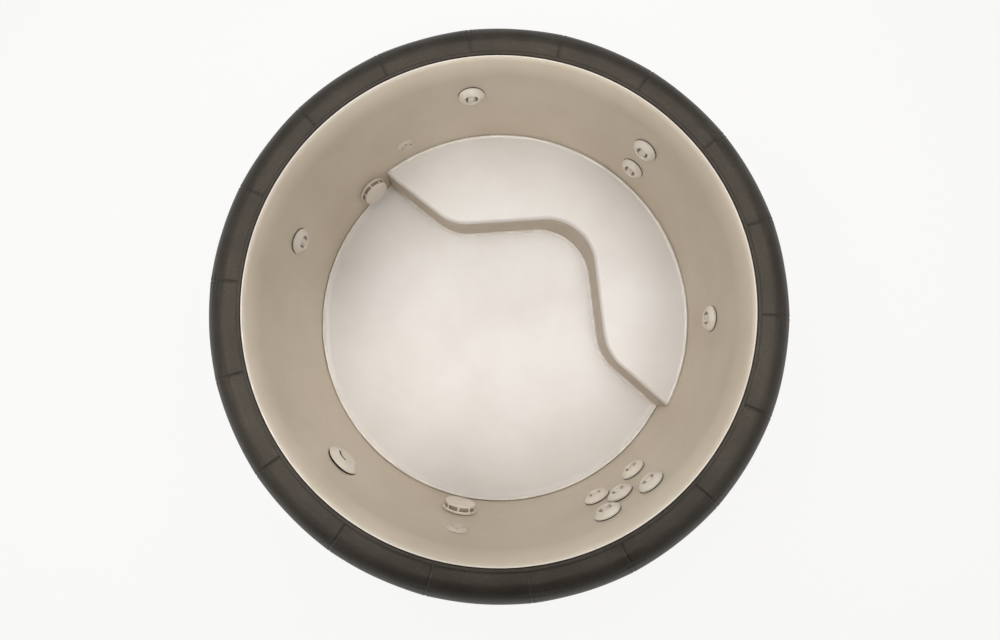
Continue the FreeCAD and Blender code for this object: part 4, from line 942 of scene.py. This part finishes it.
# Gap rings: a near-black ring in the gap between the liner and each jet or the return, painted shadow
# of that gap, with a pale plastic bezel in front of it on the jets. Only a thin dark line of it shows, from
# above.
JET_SHADOW_RING = 0.0499
JET_SHADOW_FACE = 0.0026
BEZEL = 0.0482
BEZEL_FACE = 0.0055
BEZEL_WIDE = 0.0035
RETURN_SHADOW_RING = 0.0655
RETURN_SHADOW_FACE = 0.0052
RING_WIDE = 0.007
RING_BED = 0.007
FITTING_RING_STEPS = 64
# Painted shadow: near-black colours for the rings in the gap behind each fitting
GAP_SHADOW_SHADE = (0.014, 0.010, 0.007, 1)
GAP_SHADOW_TONE = (0.026, 0.019, 0.014, 1)
GAP_SHADOW_ROUGH = 0.8


def wall_ring(rings, section, spot, closed=True):
    """Spin (radius, depth) points about a fitting's axis, and set the ring on the liner wall."""
    points = [rings.verts.new((radius, 0, depth)) for radius, depth in section]
    after = points[1:] + points[:1] if closed else points[1:]
    sides = [rings.edges.new(pair) for pair in zip(points, after)]
    bmesh.ops.spin(rings, geom=points + sides, cent=(0, 0, 0), axis=UP, angle=2 * math.pi,
                   steps=FITTING_RING_STEPS, use_merge=True)
    lay = Matrix.Rotation(math.radians(spot[0]), 4, "Z") @ Matrix.Rotation(-math.pi / 2, 4, "Y")
    fresh = [vert for vert in rings.verts if vert.co.length < WALL_RADIUS / 2]
    bmesh.ops.transform(rings, matrix=Matrix.Translation(wall_point(*spot)) @ lay, verts=fresh)


def band(outside, wide, low, high):
    """A ring's section: a plain rectangle."""
    return (outside - wide, low), (outside, low), (outside, high), (outside - wide, high)


def close_rings(rings):
    """Merge the seams of spun rings and turn their faces outwards."""
    bmesh.ops.remove_doubles(rings, verts=rings.verts[:], dist=1e-6)
    bmesh.ops.recalc_face_normals(rings, faces=rings.faces[:])


bm = bmesh.new()
for spot in JET_SPOTS:
    wall_ring(bm, band(JET_SHADOW_RING, RING_WIDE, -RING_BED, JET_SHADOW_FACE), spot)
wall_ring(bm, band(RETURN_SHADOW_RING, RING_WIDE, -RING_BED, RETURN_SHADOW_FACE), RETURN_SPOT)
close_rings(bm)
piece_of("gap_shadow_rings", bm, moulded("gap_painted_shadow", GAP_SHADOW_SHADE, GAP_SHADOW_TONE, GAP_SHADOW_ROUGH))

bm = bmesh.new()
for spot in JET_SPOTS:
    wall_ring(bm, band(BEZEL, BEZEL_WIDE, JET_SHADOW_FACE, BEZEL_FACE), spot)
close_rings(bm)
piece_of("jet_bezels", bm, fitting_plastic)

# Strainer screens: a thin ring of brown perforated plastic inside each strainer's drum. It shows
# through the slots.
SCREEN = 0.0548
SCREEN_THICK = 0.0015
SCREEN_FOOT = 0.0092
SCREEN_TOP = 0.0322
SCREEN_SHADE = (0.300, 0.252, 0.198, 1)
SCREEN_TONE = (0.360, 0.306, 0.244, 1)
SCREEN_ROUGH = 0.55

bm = bmesh.new()
for spot in STRAINER_SPOTS:
    wall_ring(bm, band(SCREEN, SCREEN_THICK, SCREEN_FOOT, SCREEN_TOP), spot)
close_rings(bm)
screen_plastic = moulded("screen_plastic", SCREEN_SHADE, SCREEN_TONE, SCREEN_ROUGH)
piece_of("strainer_screens", bm, screen_plastic)

# Return hood: a domed plastic cap that swivels on the return's body. Water leaves it through a
# crescent mouth along the upper edge of its round front.
# The mouth is a dented groove coloured with the dark body plastic: partly the body seen through the mouth,
# partly painted shade of the opening
HOOD = 0.066
HOOD_THICK = 0.0015
HOOD_BACK = 0.0061
HOOD_EDGE = 0.0035
HOOD_EDGE_TURN = 62
HOOD_EDGE_STEPS = 9
HOOD_FACE = 0.037
HOOD_FACE_STEPS = 8
HOOD_DEPTH = 0.0262
HOOD_CROWN = 0.0014
HOOD_BULGE = 1.2
HOOD_SIDE_STEPS = 12
MOUTH_WIDE = 0.0090
MOUTH_DEEP = 0.0090
MOUTH_STEPS = 8
MOUTH_SIDE = -30
MOUTH_HALF = 68
# How far the dark colour fills the mouth's groove: partly the body seen through it, partly painted shade
MOUTH_FILL = 1.8

section = [(HOOD - RING_WIDE, HOOD_BACK), (HOOD - HOOD_EDGE, HOOD_BACK)]
section += arc_points(HOOD - HOOD_EDGE, HOOD_BACK + HOOD_EDGE, HOOD_EDGE,
                      -90, HOOD_EDGE_TURN, HOOD_EDGE_STEPS)
side_start, side_level = section[-1]
for step in range(1, HOOD_SIDE_STEPS + 1):
    share = step / HOOD_SIDE_STEPS
    climbed = math.sin(HOOD_BULGE * share) / math.sin(HOOD_BULGE)
    radius = side_start + (HOOD_FACE - side_start) * share
    section.append((radius, side_level + (HOOD_DEPTH - side_level) * climbed))
section += [(HOOD_FACE - MOUTH_WIDE * step / MOUTH_STEPS, HOOD_DEPTH) for step in range(1, MOUTH_STEPS + 1)]
face_edge = section[-1][0]
for step in range(1, HOOD_FACE_STEPS + 1):
    share = 1 - step / HOOD_FACE_STEPS
    section.append((face_edge * share, HOOD_DEPTH + HOOD_CROWN * (1 - share ** 2)))
bm = bmesh.new()
wall_ring(bm, section, RETURN_SPOT, closed=False)
close_rings(bm)
inward = -spoke(math.radians(RETURN_SPOT[0]))
mouth_way = UP.copy()
mouth_way.rotate(Matrix.Rotation(math.radians(MOUTH_SIDE), 3, inward))


def in_mouth(point):
    """How far a point is across the mouth, from 0 to 1, and how near to the mouth's middle."""
    flat = point - wall_point(*RETURN_SPOT)
    flat -= inward * flat.dot(inward)
    off = flat.angle(mouth_way, math.pi) / math.radians(MOUTH_HALF)
    return share_of(HOOD_FACE - flat.length, MOUTH_WIDE), max(0.0, 1 - off * off)


for vert in bm.verts:
    across, nearness = in_mouth(vert.co)
    vert.co -= inward * MOUTH_DEEP * math.sin(math.pi * across) * math.sqrt(nearness)
# Faces in the mouth's groove get the dark body plastic: partly the body seen through the mouth, partly
# painted shade
for face in bm.faces:
    across, nearness = in_mouth(face.calc_center_median())
    face.material_index = int(abs(across - 0.5) < 0.5 * min(1.0, MOUTH_FILL * nearness))
if sum(face.normal.dot(inward) for face in bm.faces) < 0:
    bmesh.ops.reverse_faces(bm, faces=bm.faces[:])
hood = piece_of("return_hood_cap", bm, fitting_plastic, body="return_hood", thick=HOOD_THICK)
hood.data.materials.append(body_plastic)
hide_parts("return_hood")

# Outside fittings: three dark plastic couplings for the pump unit's hoses and a drain valve with a
# quarter-turn handle, all screwed through the side cover.
COUPLING_SHADE = (0.022, 0.022, 0.023, 1)
COUPLING_TONE = (0.036, 0.036, 0.037, 1)
COUPLING_ROUGH = 0.38
HANDLE_SHADE = (0.10, 0.105, 0.11, 1)
HANDLE_TONE = (0.14, 0.145, 0.15, 1)
HANDLE_ROUGH = 0.35

dress(moulded("coupling_plastic", COUPLING_SHADE, COUPLING_TONE, COUPLING_ROUGH),
      "suction_coupling", "pressure_coupling", "air_coupling", "drain_valve_body")
dress(moulded("handle_plastic", HANDLE_SHADE, HANDLE_TONE, HANDLE_ROUGH), "drain_handle")
